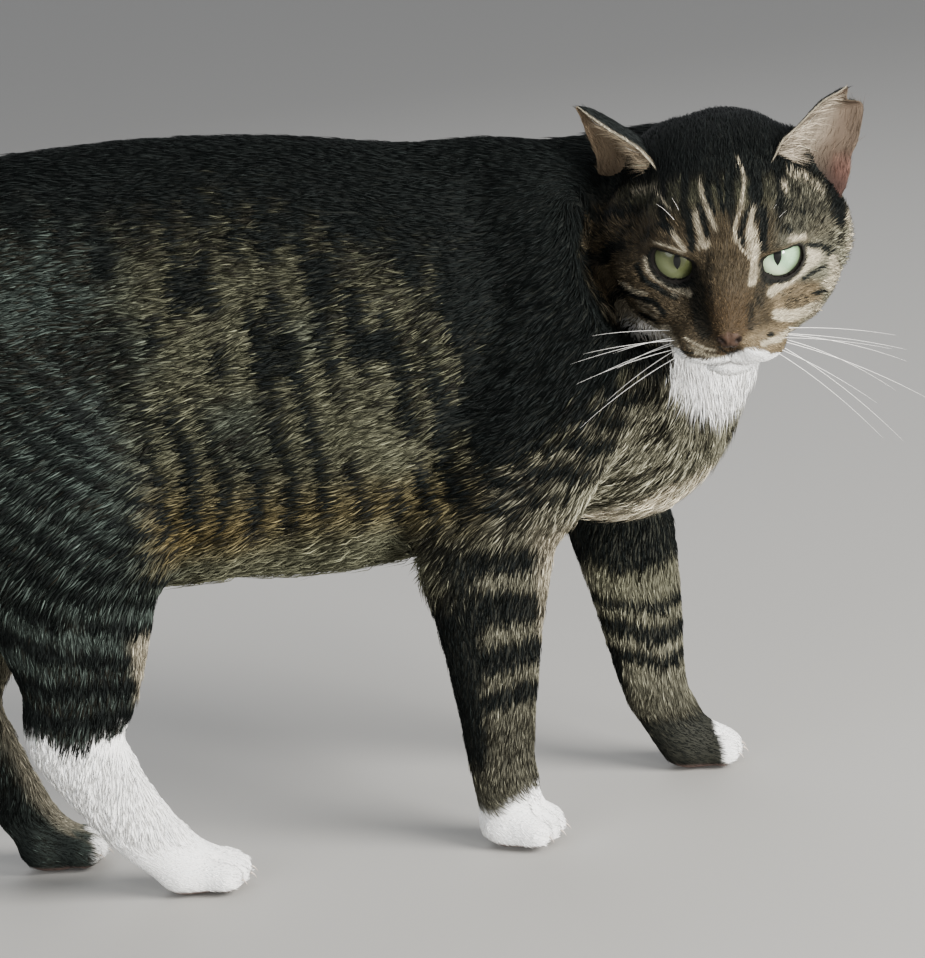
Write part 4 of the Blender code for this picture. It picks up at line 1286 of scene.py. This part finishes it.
def sproutPlaces(points, triangles, density):
    # Spreads roots evenly over the triangles
    corners = points[triangles]
    across = np.cross(corners[:, 1] - corners[:, 0], corners[:, 2] - corners[:, 0])
    area = 0.5 * np.linalg.norm(across, axis=1)
    weight = area / cm ** 2 * density[triangles].mean(axis=1)
    run = np.cumsum(weight)
    count = int(run[-1])
    at = (np.arange(count) + chance.uniform(0, 1, count)) / count * run[-1]
    face = np.minimum(np.searchsorted(run, at), len(triangles) - 1)
    a, b = chance.uniform(0, 1, (2, count))
    over = a + b > 1
    a, b = np.where(over, 1 - a, a), np.where(over, 1 - b, b)
    return face, np.column_stack([1 - a - b, a, b])


def spread(values, triangles, face, share):
    picked = values[triangles[face]]
    if picked.ndim == 2:
        return (picked * share).sum(axis=1)
    return (picked * share[:, :, None]).sum(axis=1)


tuftLoops = np.array([0, 2, 1, 0, 1, 4, 3, 1, 2, 5, 4, 2, 0, 3, 5, 3, 4, 6, 4, 5, 6, 5, 3, 6])
tuftStarts = np.array([0, 3, 7, 11, 15, 18, 21])
tuftPatch = np.array([(-1, -0.8), (1, -0.8), (0, 1), (-0.5, -0.4), (0.5, -0.4), (0, 0.5), (0, 0)])
shortLoops = np.array([0, 2, 1, 0, 1, 3, 1, 2, 3, 2, 0, 3])
shortStarts = np.array([0, 3, 6, 9])
shortPatch = np.array([(-1, -0.8), (1, -0.8), (0, 1), (0, 0)])


def tuftMesh(name, tufts, chosen, short=False):
    # A tuft has three sides; a long one bends at its middle
    root, up, along = (tufts[key][chosen] for key in ("root", "up", "along"))
    measures = ("length", "width", "lift", "bend", "droop")
    length, width, lift, bend, droop = (tufts[key][chosen][:, None] for key in measures)
    side = unit(np.cross(up, along))
    first = unit(along * np.cos(lift) + up * np.sin(lift) + side * bend * 0.4)
    second = unit(along * np.cos(lift * 0.25) + up * np.sin(lift * 0.25 - droop) + side * bend)
    middle = root + first * length * 0.45
    tip = middle + second * length * 0.55
    root = root - up * (0.008 if short else 0.02) * cm
    count = len(root)
    rings = [(root, 1.0)] if short else [(root, 0.75), (middle, 1.0)]
    each = 3 * len(rings) + 1
    points = np.empty((count, each, 3))
    for k, (at, wide) in enumerate(rings):
        points[:, 3 * k] = at - side * width * 0.5 * wide
        points[:, 3 * k + 1] = at + side * width * 0.5 * wide
        points[:, 3 * k + 2] = at + up * width * 0.38 * wide
    points[:, -1] = tip
    points[:, :, 2] = np.maximum(points[:, :, 2], coat["aboveFloor"])
    loops, starts, flat = tuftLoops, tuftStarts, tuftPatch
    if short:
        loops, starts, flat = shortLoops, shortStarts, shortPatch
    steps = np.arange(count)[:, None]
    mesh = meshFrom(name, points.reshape(-1, 3), (loops[None] + each * steps).ravel(),
                    (starts[None] + len(loops) * steps).ravel())
    tones = np.empty((count, each, 3))
    tones[:, :3] = tufts["midTone" if short else "rootTone"][chosen][:, None]
    tones[:, 3:] = tufts["midTone"][chosen][:, None]
    tones[:, -1] = tufts["tipTone"][chosen]
    addColours(mesh, "pelt", tones.reshape(-1, 3))
    patch = tufts["place"][chosen][:, None, :] + flat[loops][None] * coat["patch"]
    addMap(mesh, "OFBake", np.clip(patch, 0.001, 0.999).reshape(-1, 2))
    return mesh


def colourTufts(tufts, ground, dark, white, speckle, vary=0.34):
    # Each hair is banded: dusky root, pale middle, dark or pale tip
    count = len(dark)
    draw = chance.uniform(0, 1, count)
    tone = chance.normal(0, 1, count)
    inked = ease(dark + (draw - 0.5) * speckle, 0.42, 0.62)
    light = ground * np.exp(vary * tone)[:, None]
    pale = (chance.uniform(0, 1, count) < 0.16) * (1 - dark) * (1 - white)
    light = blend(light, light * 1.8, pale)
    ink = blend(colour["darkBrown"], colour["black"], ease(dark, 0.4, 0.9)) * np.exp(0.25 * tone)[:, None]
    midTone = blend(light, ink, inked)
    tipInk = (chance.uniform(0, 1, count) < 0.30 + 0.5 * dark).astype(float)
    tipTone = blend(midTone * 1.35, blend(midTone, ink, 0.75), tipInk)
    rootTone = midTone * 0.55
    snow = colour["white"] * (1 + 0.05 * tone)[:, None]
    whiteTuft = ease(white + (draw - 0.5) * 0.5 * (white > 0.02) * (white < 0.98), 0.4, 0.6)
    tufts["midTone"] = np.clip(blend(midTone, snow, whiteTuft), 0.0015, 0.91)
    tufts["tipTone"] = np.clip(blend(tipTone, snow * 1.03, whiteTuft), 0.0015, 0.93)
    tufts["rootTone"] = np.clip(blend(rootTone, snow * 0.85, whiteTuft), 0.0015, 0.86)
    return tufts


def coatMeasures():
    # Density, length, width, lift and hang of the coat at each point of the skin
    density, length, width, lift = (skinShare @ np.array([coat[kindOf(group)] for group in groups], float)).T
    local, cat = toHead(skinPoints), toCat(skinPoints)
    onHead = skinShare[:, 0]
    x, y, z = local.T
    # The face is short-haired, shortest on nose and lips, longer to cheeks and nape
    short = ease(x, 0.5, 4.6)
    length = blend(length, 0.32, onHead * short)
    length = blend(length, 0.18, onHead * ease(x, 4.4, 5.4))
    width = blend(width, 0.027, onHead * short)
    density = blend(density, 260, onHead * short)
    fringe = ease(np.abs(y), 3.0, 4.2) * ease(z, 0.8, -1.5) * ease(x, 2.2, 0.5)
    length = length + 0.35 * onHead * fringe
    lift = lift + 6 * onHead * fringe
    for side in (-1, 1):
        share = lidShare(local, side)[0]
        near = ease(share, 2.6, 1.3) * onHead
        length = blend(length, 0.17, near)
        density = density * (1 - ease(share, 1.11, 1.05) * onHead)
        density = blend(density, 320, near * (share > 1.08))
    nose = noseMask(local)
    density = density * (1 - ease(nose, 0.1, 0.5))
    under = ease(skinNormals[:, 2], -0.5, -0.8) * ease(cat[:, 2], 0.6, 0.3)
    density = density * (1 - under)
    lift = lift + 7 * onHead * short
    # Feet: short and close
    foot = ease(cat[:, 2], 3.6, 1.8)
    length = blend(length, 0.25, foot)
    width = blend(width, 0.040, foot)
    lift = blend(lift, 6.0, foot)
    density = blend(density, 120, foot * (1 - under)) * (1 - under)
    # Hair hangs longer at the belly's edge, chest and elbow
    hang = ease(cat[:, 2], 16.0, 13.0) * skinShare[:, 2] * ease(skinNormals[:, 2], 0.2, -0.3)
    length = length + 0.45 * hang
    lift = lift + 8 * hang
    chest = skinShare[:, 1] * ease(skinNormals @ unit(np.array((0.8, -0.4, -0.4))), 0.2, 0.7)
    length = length + 0.12 * chest
    width = width - 0.014 * chest
    density = density + 34 * chest
    lift = lift + 2 * chest
    return density, length, width, lift, hang


def growCoat():
    density, length, width, lift, hang = coatMeasures()
    onHead = skinShare[:, 0]
    face, share = sproutPlaces(skinPoints, skinTriangles, density)
    get = lambda values: spread(values, skinTriangles, face, share)
    root, up = get(skinPoints), unit(get(skinNormals))
    along = unit(get(lie))
    count = len(root)
    here = toCat(root)
    # Locks: neighbours lean the same way
    side = np.cross(up, along)
    lean = 0.16 * noise(here, 1.5, 61) + 0.20 * noise(here, 0.45, 62) + 0.10 * chance.normal(0, 1, count)
    along = unit(along - up * dot(along, up)[:, None] + side * lean[:, None])
    vary = np.clip(1 + 0.16 * chance.normal(0, 1, count) + 0.10 * noise(here, 0.8, 63), 0.45, 1.5)
    tufts = {
        "root": root, "up": up, "along": along,
        "length": get(length) * vary * cm,
        "width": get(width) * np.clip(1 + 0.22 * chance.normal(0, 1, count), 0.5, 1.6) * cm,
        "lift": np.radians(get(lift) * np.clip(
            1 + 0.3 * chance.normal(0, 1, count) + 0.25 * noise(here, 0.5, 64), 0.3, 2.2)),
        "bend": 0.12 * chance.normal(0, 1, count) + 0.12 * noise(here, 0.9, 65),
        "droop": 0.02 + 0.12 * get(hang),
        "straight": chance.uniform(0, 1, count) < coat["straight"],
    }
    ground, dark, white = markings(root, up, get(skinShare))
    colourTufts(tufts, ground, dark, white, 0.64 - 0.2 * get(onHead), 0.34 - 0.10 * get(onHead))
    # Painted shade darkens the tufts in the furrows between the toes
    toeFoldShade = (1 - coat["toeShade"] * toeFolds(here))[:, None]
    for key in ("midTone", "tipTone", "rootTone"):
        tufts[key] = tufts[key] * toeFoldShade
    groupOfTuft = get(skinShare).argmax(axis=1)
    tufts["place"] = np.zeros((count, 2))
    for k, group in enumerate(groups):
        chosen = np.flatnonzero(groupOfTuft == k)
        tufts["place"][chosen] = onChart(unwrap(root[chosen], group), group)
    return tufts, groupOfTuft


tufts, tuftGroup = growCoat()
coatTriangles = 0
isShort = (tufts["length"] < coat["shortBelow"] * cm) | tufts["straight"]
for k, group in enumerate(groups):
    for short in (False, True):
        chosen = np.flatnonzero((tuftGroup == k) & (isShort == short))
        if len(chosen) == 0:
            continue
        place = toHead(tufts["root"][chosen]) if group == "head" else toCat(tufts["root"][chosen])
        chosen = chosen[np.argsort(place[:, 0] + 200 * (place[:, 1] > 0) * (group == "torso"))]
        faces = 4 if short else 10
        portions = math.ceil(len(chosen) * faces / coat["most"])
        for n, portion in enumerate(np.array_split(chosen, portions)):
            number = str(n + 1) if portions > 1 else ""
            name = ("down" if short else "coat") + group[0].upper() + group[1:] + number
            showPiece(name, tuftMesh(name, tufts, portion, short), peltMaterial)
        coatTriangles += faces * len(chosen)
        print("coat grown:", group, len(chosen), "short" if short else "long", "tufts")

# Ears: short fur behind, a fringe on the rim, long pale hairs within
earCoat = {
    "back": (95, 0.26, 0.032, 9),
    "frontDensity": 46,
    "frontLength": 0.48,
    "frontWidth": 0.016,
    "within": 300,
    "leftTone": (0.29, 0.245, 0.185),
    "rightTone": (0.42, 0.33, 0.22),
}


def growEarCoat(name):
    ear = ears[name]
    points, triangles, normals = ear["points"], ear["triangles"], ear["normals"]
    density, length, width, lift = earCoat["back"]
    onBack = (1 - ear["front"]) * ease(ear["rise"], 0.0, 0.03)
    fringe = ease(np.minimum(ear["across"], 1 - ear["across"]), 0.10, 0.02)
    density = density * (onBack + 0.9 * ear["front"] * fringe)
    density = density + earCoat["frontDensity"] * ear["front"] * ease(ear["rise"], 0.03, 0.12)
    face, share = sproutPlaces(points, triangles, density)
    get = lambda values: spread(values, triangles, face, share)
    root, up = get(points), unit(get(normals))
    along = unit(get(ear["lie"]))
    along = unit(along - up * dot(along, up)[:, None])
    count = len(root)
    side = np.cross(up, along)
    along = unit(along + side * (0.18 * chance.normal(0, 1, count))[:, None])
    length = blend(length, earCoat["frontLength"], get(ear["front"] * ease(ear["rise"], 0.9, 0.6)))
    tufts = {
        "root": root, "up": up, "along": along,
        "length": length * np.clip(1 + 0.25 * chance.normal(0, 1, count), 0.4, 1.7) * cm,
        "width": blend(width, earCoat["frontWidth"], get(ear["front"])) * cm,
        "lift": np.radians(lift * np.clip(1 + 0.4 * chance.normal(0, 1, count), 0.2, 2.5)),
        "bend": 0.1 * chance.normal(0, 1, count), "droop": np.full(count, 0.02),
    }
    for key in ("rise", "across", "front"):
        tufts[key] = get(ear[key])
    part = dict(ear, rise=tufts["rise"], across=tufts["across"], front=tufts["front"])
    ground, dark, white = earColours(part, root)
    colourTufts(tufts, ground, dark, white, 0.6)
    flat = earPlace(name, tufts["across"], tufts["rise"])
    tufts["place"] = np.where((tufts["front"] > 0.5)[:, None], onChart(flat, "earFront"),
                              onChart(flat, "earBack"))
    return tufts


def growEarHairs(name):
    # Long hairs start along the inner edge and sweep over the hollow
    count = earCoat["within"]
    inner = smoothPath(earShape[name]["inner"], 8)
    outer = smoothPath(earShape[name]["outer"], 8)
    t = chance.uniform(0.0, 1.0, count) ** 1.6 * 0.62 + 0.02
    rows = t * (len(inner) - 1)
    low = np.floor(rows).astype(int)
    part = (rows - low)[:, None]
    innerAt = inner[low] * (1 - part) + inner[low + 1] * part
    outerAt = outer[low] * (1 - part) + outer[low + 1] * part
    across = unit(outerAt - innerAt)
    rise = unit(inner[-1] - inner[0])
    back = unit(np.cross(rise, across))
    back = np.where((back[:, :1] > 0), -back, back)
    begin = innerAt + across * (0.06 + 0.25 * chance.uniform(0, 1, count) ** 2)[:, None]
    begin = begin + back * (0.10 + 0.5 * np.minimum(1.0, 0.4 * (1 - t)))[:, None] * 0.6
    turn = chance.normal(0.55, 0.22, count)[:, None]
    along = unit(across * np.cos(turn) + rise * np.sin(turn) - back * 0.10)
    tufts = {
        "root": fromHead(begin), "up": (-back) @ headTurn.T, "along": along @ headTurn.T,
        "length": (0.9 + 0.9 * (1 - t) + 0.2 * chance.normal(0, 1, count)) * cm,
        "width": np.full(count, 0.015) * cm,
        "lift": np.radians(chance.normal(4, 5, count)),
        "bend": 0.25 * chance.normal(0, 1, count), "droop": np.full(count, 0.05),
    }
    colourTufts(tufts, plain(earCoat[name + "Tone"], count), np.zeros(count), np.zeros(count), 0.2)
    tufts["place"] = onChart(earPlace(name, np.full(count, 0.1), t), "earFront")
    return tufts


for name in ("left", "right"):
    fur = growEarCoat(name)
    title = "coatEar" + name.capitalize()
    showPiece(title, tuftMesh(title, fur, np.arange(len(fur["root"])), True), peltMaterial)
    hairs = growEarHairs(name)
    title = "earHairs" + name.capitalize()
    showPiece(title, tuftMesh(title, hairs, np.arange(len(hairs["root"]))), peltMaterial)
    coatTriangles += 4 * len(fur["root"]) + 10 * len(hairs["root"])
print("coat:", coatTriangles, "triangles")

# The right eye's colours are darker copies of the left eye's: painted shade on the side away from the lamps
eyes = {
    "left": {"side": 1, "gaze": (0.965, 0.04, 0.24), "iris": (0.25, 0.40, 0.24), "glow": (0.72, 0.86, 0.58),
             "ring": (0.070, 0.105, 0.055), "slit": 0.145, "tall": 0.40},
    "right": {"side": -1, "gaze": (0.985, -0.06, 0.13), "iris": (0.055, 0.062, 0.025),
              "glow": (0.15, 0.17, 0.085), "ring": (0.022, 0.026, 0.010), "slit": 0.125, "tall": 0.32},
}
eyeBall = {"rings": 56, "spokes": 96, "inset": 0.985, "bulge": 0.035, "bulgeWidth": 0.62}


def makeEyeFinish(name):
    eye = eyes[name]
    finish = Finish("eye" + name.capitalize())
    place = finish.attribute("gaze", "Vector")
    across = finish.node("ShaderNodeSeparateXYZ", {}, {0: place}, 0)
    upward = finish.node("ShaderNodeSeparateXYZ", {}, {0: place}, 1)
    radius = (across * across + upward * upward) ** 0.5
    angle = finish.node("ShaderNodeMath", {"operation": "ARCTAN2"}, {0: upward, 1: across})
    spokes = finish.node("ShaderNodeCombineXYZ", {}, {0: angle * 9.0, 1: radius * 3.0, 2: 0.0})
    fibre = finish.node("ShaderNodeTexNoise", {},
                        {"Vector": spokes, "Scale": 1.6, "Detail": 4.0, "Roughness": 0.65}, "Fac")
    iris = finish.mix(finish.between(fibre, 0.3, 0.7), opaque(eye["iris"], 0.72), opaque(eye["iris"]))
    iris = finish.mix(finish.between(radius, 0.52, 0.80), iris, opaque(eye["ring"]))
    # Painted light: a pale crescent low on the side away from the pupil, where light through the cornea
    # gathers
    low = across * 0.7 - upward * 0.75
    iris = finish.mix(finish.between(low, 0.05, 0.60, 0.0, 0.70), iris, opaque(eye["glow"]))
    # It is darkest round the pupil, and painted shadow of the upper lid darkens its top
    iris = finish.mix(finish.between(radius, 0.36, 0.14, 0.0, 0.75), iris, opaque(eye["iris"], 0.45))
    iris = finish.mix(finish.between(upward, 0.05, 0.40, 0.0, 0.65), iris, opaque(eye["iris"], 0.4))
    high = upward * (1 / eye["tall"])
    reach = 1 - high * high
    edge = reach * eye["slit"] - finish.node("ShaderNodeMath", {"operation": "ABSOLUTE"}, {0: across})
    pupil = finish.between(edge, -0.012, 0.012)
    shown = finish.mix(pupil, iris, (0.001, 0.0014, 0.0014, 1))
    shown = finish.mix(finish.between(radius, 0.75, 0.84), shown, (0.010, 0.010, 0.008, 1))
    return finish.close(Base_Color=shown, Roughness=finish.between(fibre, 0.0, 1.0, 0.16, 0.24),
                        Coat_Weight=0.55, Coat_Roughness=0.02, Specular_IOR_Level=0.08)


def makeEye(name):
    eye = eyes[name]
    gaze = unit(np.array(eye["gaze"]))
    right = unit(np.cross(gaze, (0.0, 0.0, 1.0)))
    upward = np.cross(right, gaze)
    rings, spokes = eyeBall["rings"], eyeBall["spokes"]
    points, seen = [], []
    for i in range(rings + 1):
        polar = math.pi * i / rings
        for j in range(spokes):
            turn = 2 * math.pi * j / spokes
            a, b = math.sin(polar) * math.cos(turn), math.sin(polar) * math.sin(turn)
            # The cornea stands a little proud of the ball
            ahead = polar < math.pi / 2
            swell = 1.0 + eyeBall["bulge"] * math.exp(-(math.sin(polar) / eyeBall["bulgeWidth"]) ** 2) * ahead
            direction = gaze * math.cos(polar) + right * a + upward * b
            points.append(direction * headPlace["eyeRadius"] * swell * eyeBall["inset"])
            seen.append((a, b, math.cos(polar)) if ahead else (2.0, 2.0, math.cos(polar)))
    triangles = []
    for i in range(rings):
        for j in range(spokes):
            a, b = i * spokes + j, i * spokes + (j + 1) % spokes
            c, d = b + spokes, a + spokes
            triangles += [(a, d, c), (a, c, b)]
    mesh = triangleMesh("eye" + name.capitalize(), fromHead(np.array(points) + eyeMiddle(eye["side"])),
                        triangles)
    addVectors(mesh, "gaze", np.array(seen))
    shape = bmesh.new()
    shape.from_mesh(mesh)
    bmesh.ops.remove_doubles(shape, verts=shape.verts, dist=1e-7)
    bmesh.ops.recalc_face_normals(shape, faces=shape.faces)
    shape.to_mesh(mesh)
    shape.free()
    mesh.polygons.foreach_set("use_smooth", np.full(len(mesh.polygons), True))
    showPiece("eye" + name.capitalize(), mesh, makeEyeFinish(name), ["eye_" + name])


def tube(path, radii, sides=8, closed=False):
    path = np.asarray(path, float)
    count = len(path)
    if closed:
        ahead = unit(np.roll(path, -1, axis=0) - np.roll(path, 1, axis=0))
    else:
        ahead = unit(np.gradient(path, axis=0))
    guide = np.array((0.13, 0.27, 0.95))
    side = unit(np.cross(ahead, guide))
    other = np.cross(ahead, side)
    turns = np.arange(sides) / sides * 2 * math.pi
    ring = side[:, None] * np.cos(turns)[None, :, None] + other[:, None] * np.sin(turns)[None, :, None]
    points = (path[:, None] + ring * np.asarray(radii, float)[:, None, None]).reshape(-1, 3)
    triangles = []
    for i in range(count if closed else count - 1):
        n = (i + 1) % count
        for j in range(sides):
            k = (j + 1) % sides
            a, b, c, d = i * sides + j, i * sides + k, n * sides + k, n * sides + j
            triangles += [(a, b, c), (a, c, d)]
    if not closed:
        last = (count - 1) * sides
        for k in range(1, sides - 1):
            triangles += [(0, k + 1, k), (last, last + k, last + k + 1)]
    return points, np.array(triangles)


def joined(shapes):
    points, triangles, total = [], [], 0
    for at, rows in shapes:
        points.append(at)
        triangles.append(rows + total)
        total += len(at)
    return np.vstack(points), np.vstack(triangles)


rim = {
    "colour": (0.002, 0.002, 0.0016),
    "inner": (0.008, 0.005, 0.004),
    "grow": 1.11,
    "ball": 1.105,
    "thickness": 0.024,
    "lower": {"left": 0.022, "right": 0.032},
}


def makeRimFinish():
    finish = Finish("lidRim")
    damp = finish.node("ShaderNodeTexNoise", {}, {"Scale": 1400.0, "Detail": 2.0}, "Fac")
    shown = finish.mix(finish.between(damp, 0.35, 0.7), opaque(rim["colour"]), opaque(rim["inner"]))
    return finish.close(Base_Color=shown, Roughness=finish.between(damp, 0.2, 0.8, 0.30, 0.5),
                        Specular_IOR_Level=0.06)


rimMaterial = makeRimFinish()
for name in ("left", "right"):
    makeEye(name)
    side = eyes[name]["side"]
    outline = lidOutline(72)
    # The inner corner runs on towards the nose
    inward = -side
    stretch = 1 + 0.16 * ease(outline[:, 0] * inward, 0.55, 0.80)
    outline = outline * stretch[:, None] * rim["grow"]
    outline[:, 1] -= 0.05 * ease(outline[:, 0] * inward, 0.55, 0.85)
    flat = np.hypot(outline[:, 0], outline[:, 1])
    onLid = np.column_stack([np.sqrt(np.maximum(rim["ball"] ** 2 - flat ** 2, 0.05)), outline])
    path = onLid @ lidFrame(side).T + eyeMiddle(side)
    # Thin under the upper lid's fur, thick and dark along the lower one
    below = ease(outline[:, 1], 0.20, -0.15)
    radii = rim["thickness"] + rim["lower"][name] * below + 0.010 * ease(outline[:, 0] * inward, 0.5, 0.85)
    points, triangles = tube(path, radii, 10, closed=True)
    mesh = triangleMesh("lidRim" + name.capitalize(), fromHead(points), triangles)
    showPiece("lidRim" + name.capitalize(), mesh, rimMaterial)
print("eyes and lid rims made")

whiskers = {
    "thickness": 0.014,
    "rows": ((4.75, 1.05, -2.45), (4.60, 1.30, -2.75), (4.45, 1.45, -3.02)),
    "lengths": (5.2, 5.6, 4.6),
    "rightShare": 0.86,
    "brow": 2,
    "browThickness": 0.010,
    "browLength": 2.0,
}


def makeHairFinish():
    finish = Finish("whisker")
    fleck = finish.node("ShaderNodeTexNoise", {}, {"Scale": 500.0, "Detail": 1.0}, "Fac")
    shown = finish.mix(fleck, (0.58, 0.56, 0.52, 1), (0.72, 0.70, 0.66, 1))
    return finish.close(Base_Color=shown, Roughness=finish.between(fleck, 0.0, 1.0, 0.3, 0.45),
                        Specular_IOR_Level=0.5)


def sweepHair(start, aim, length, sag, steps=14):
    t = np.linspace(0, 1, steps)[:, None]
    aim = unit(np.asarray(aim, float))
    return np.asarray(start, float) + aim * length * t + np.array((-0.35, 0.0, -1.0)) * sag * length * t ** 2


hairs = []
for side in (-1, 1):
    for row, (x, y, z) in enumerate(whiskers["rows"]):
        for k, reach in enumerate(whiskers["lengths"]):
            start = (x - 0.30 * k, (y + 0.26 * k) * side, z + 0.03 * k)
            long = reach * (1 + 0.08 * chance.normal())
            if side < 0:
                long = long * whiskers["rightShare"]
            ahead = 0.08 - 0.16 * k + 0.05 * chance.normal()
            aim = (ahead, 1.0 * side, -0.06 - 0.24 * row + 0.06 * chance.normal())
            path = sweepHair(start, aim, long, 0.15 + 0.05 * row)
            thick = whiskers["thickness"] * np.linspace(1, 0.12, len(path)) ** 0.8
            hairs.append(tube(path, thick, 5))
    for k in range(whiskers["brow"]):
        start = (2.95 + 0.12 * k, (1.5 + 0.16 * k) * side, 1.25 - 0.05 * k)
        aim = (0.25 + 0.1 * k, (0.25 + 0.22 * k) * side, 1.0)
        path = sweepHair(start, aim, whiskers["browLength"] + 0.3 * chance.normal(), 0.28)
        hairs.append(tube(path, whiskers["browThickness"] * np.linspace(1, 0.15, len(path)), 5))
points, triangles = joined(hairs)
showPiece("whiskers", triangleMesh("whiskers", fromHead(points), triangles), makeHairFinish())

clawShape = {
    "toes": ((-0.72, -0.22), (-0.25, 0.08), (0.25, 0.08), (0.72, -0.22)),  # across and ahead on each foot
    "height": 0.62,
    "length": 0.22,
    "drop": 0.24,
    "thickness": 0.045,
}


def makeClawFinish():
    finish = Finish("claw")
    grain = finish.node("ShaderNodeTexNoise", {}, {"Scale": 900.0, "Detail": 3.0}, "Fac")
    shown = finish.mix(grain, (0.30, 0.24, 0.19, 1), (0.52, 0.46, 0.40, 1))
    return finish.close(Base_Color=shown, Roughness=finish.between(grain, 0.2, 0.8, 0.25, 0.4),
                        Specular_IOR_Level=0.5)


claws = []
for (x, y), turn, half, reach in feet.values():
    angle = math.radians(turn)
    for spreadAt, ahead in clawShape["toes"]:
        out = reach + ahead + 0.68
        across = spreadAt * half * 1.02
        heading = angle + math.radians(spreadAt * 22)
        start = np.array((x + out * math.cos(angle) - across * math.sin(angle),
                          y + out * math.sin(angle) + across * math.cos(angle), clawShape["height"]))
        t = np.linspace(0, 1, 7)[:, None]
        point = np.array((math.cos(heading), math.sin(heading), 0.0))
        path = start + point * clawShape["length"] * t + np.array((0, 0, -1.0)) * clawShape["drop"] * t ** 2
        claws.append(tube(path, clawShape["thickness"] * (1 - t[:, 0] * 0.9), 8))
points, triangles = joined(claws)
showPiece("claws", triangleMesh("claws", fromCat(points), triangles), makeClawFinish())
print("whiskers and claws made")

studio = {
    "floor": (0.33, 0.32, 0.30),
    "floorHalf": 6.0,
    "sky": (0.62, 0.64, 0.68),
    "skyStrength": 0.92,
    # place, aim, size, power, colour
    "lamps": {
        "key": ((1.30, -1.35, 1.05), (0.10, 0.0, 0.12), 1.0, 113.0, (1.0, 0.985, 0.955)),
        "window": ((0.70, -1.26, 0.14), (0.24, -0.08, 0.20), 0.24, 30.0, (1.0, 0.99, 0.97)),
        "fill": ((-1.5, -1.3, 0.8), (0.0, 0.0, 0.12), 1.6, 21.0, (0.92, 0.96, 1.0)),
        "back": ((-0.2, 1.6, 1.5), (0.0, 0.0, 0.15), 1.4, 16.0, (0.95, 0.97, 1.0)),
    },
}


def makeFloor():
    finish = Finish("floor")
    soft = finish.node("ShaderNodeTexNoise", {}, {"Scale": 3.0, "Detail": 4.0}, "Fac")
    tone = finish.mix(soft, opaque(studio["floor"]), opaque(studio["floor"], 1.06))
    material = finish.close(Base_Color=tone, Roughness=finish.between(soft, 0.0, 1.0, 0.7, 0.85),
                            Specular_IOR_Level=0.2)
    half = studio["floorHalf"]
    mesh = meshFrom("floor", [(-half, -half, 0), (half, -half, 0), (half, half, 0), (-half, half, 0)],
                    [0, 1, 2, 3], [0], False)
    floor = addObject("floor", mesh)
    floor.data.materials.append(material)


def makeLights():
    world = bpy.data.worlds.new("studio")
    world.use_nodes = True
    background = world.node_tree.nodes["Background"]
    background.inputs[0].default_value = opaque(studio["sky"])
    background.inputs[1].default_value = studio["skyStrength"]
    bpy.context.scene.world = world
    for name, (place, aim, size, power, tint) in studio["lamps"].items():
        lamp = bpy.data.lights.new(name, "AREA")
        lamp.shape = "DISK"
        lamp.size = size
        lamp.energy = power
        lamp.color = tint
        holder = addObject(name, lamp)
        holder.location = place
        holder.rotation_euler = (Vector(aim) - Vector(place)).to_track_quat("-Z", "Y").to_euler()


camera = {"turn": 7.3, "tilt": 12.5, "roll": 6.6, "lens": 124.0, "place": (1.73, -124.89, 41.92)}


def makeCamera():
    turn, tilt, roll = (math.radians(camera[key]) for key in ("turn", "tilt", "roll"))
    ahead = Vector((math.sin(turn) * math.cos(tilt), math.cos(turn) * math.cos(tilt), -math.sin(tilt)))
    right = Vector((math.cos(turn), -math.sin(turn), 0))
    upward = right.cross(ahead)
    acrossFilm = right * math.cos(roll) - upward * math.sin(roll)
    upFilm = right * math.sin(roll) + upward * math.cos(roll)
    lens = bpy.data.cameras.new("camera")
    lens.lens = camera["lens"]
    lens.sensor_width = 36.0
    lens.clip_start, lens.clip_end = 0.05, 50.0
    holder = addObject("camera", lens)
    turnTo = Matrix((acrossFilm, upFilm, -ahead)).transposed().to_4x4()
    holder.matrix_world = Matrix.Translation(Vector(fromCat(camera["place"]))) @ turnTo
    bpy.context.scene.camera = holder


makeFloor()
makeLights()
makeCamera()
bpy.context.view_layer.update()
print("scene ready")
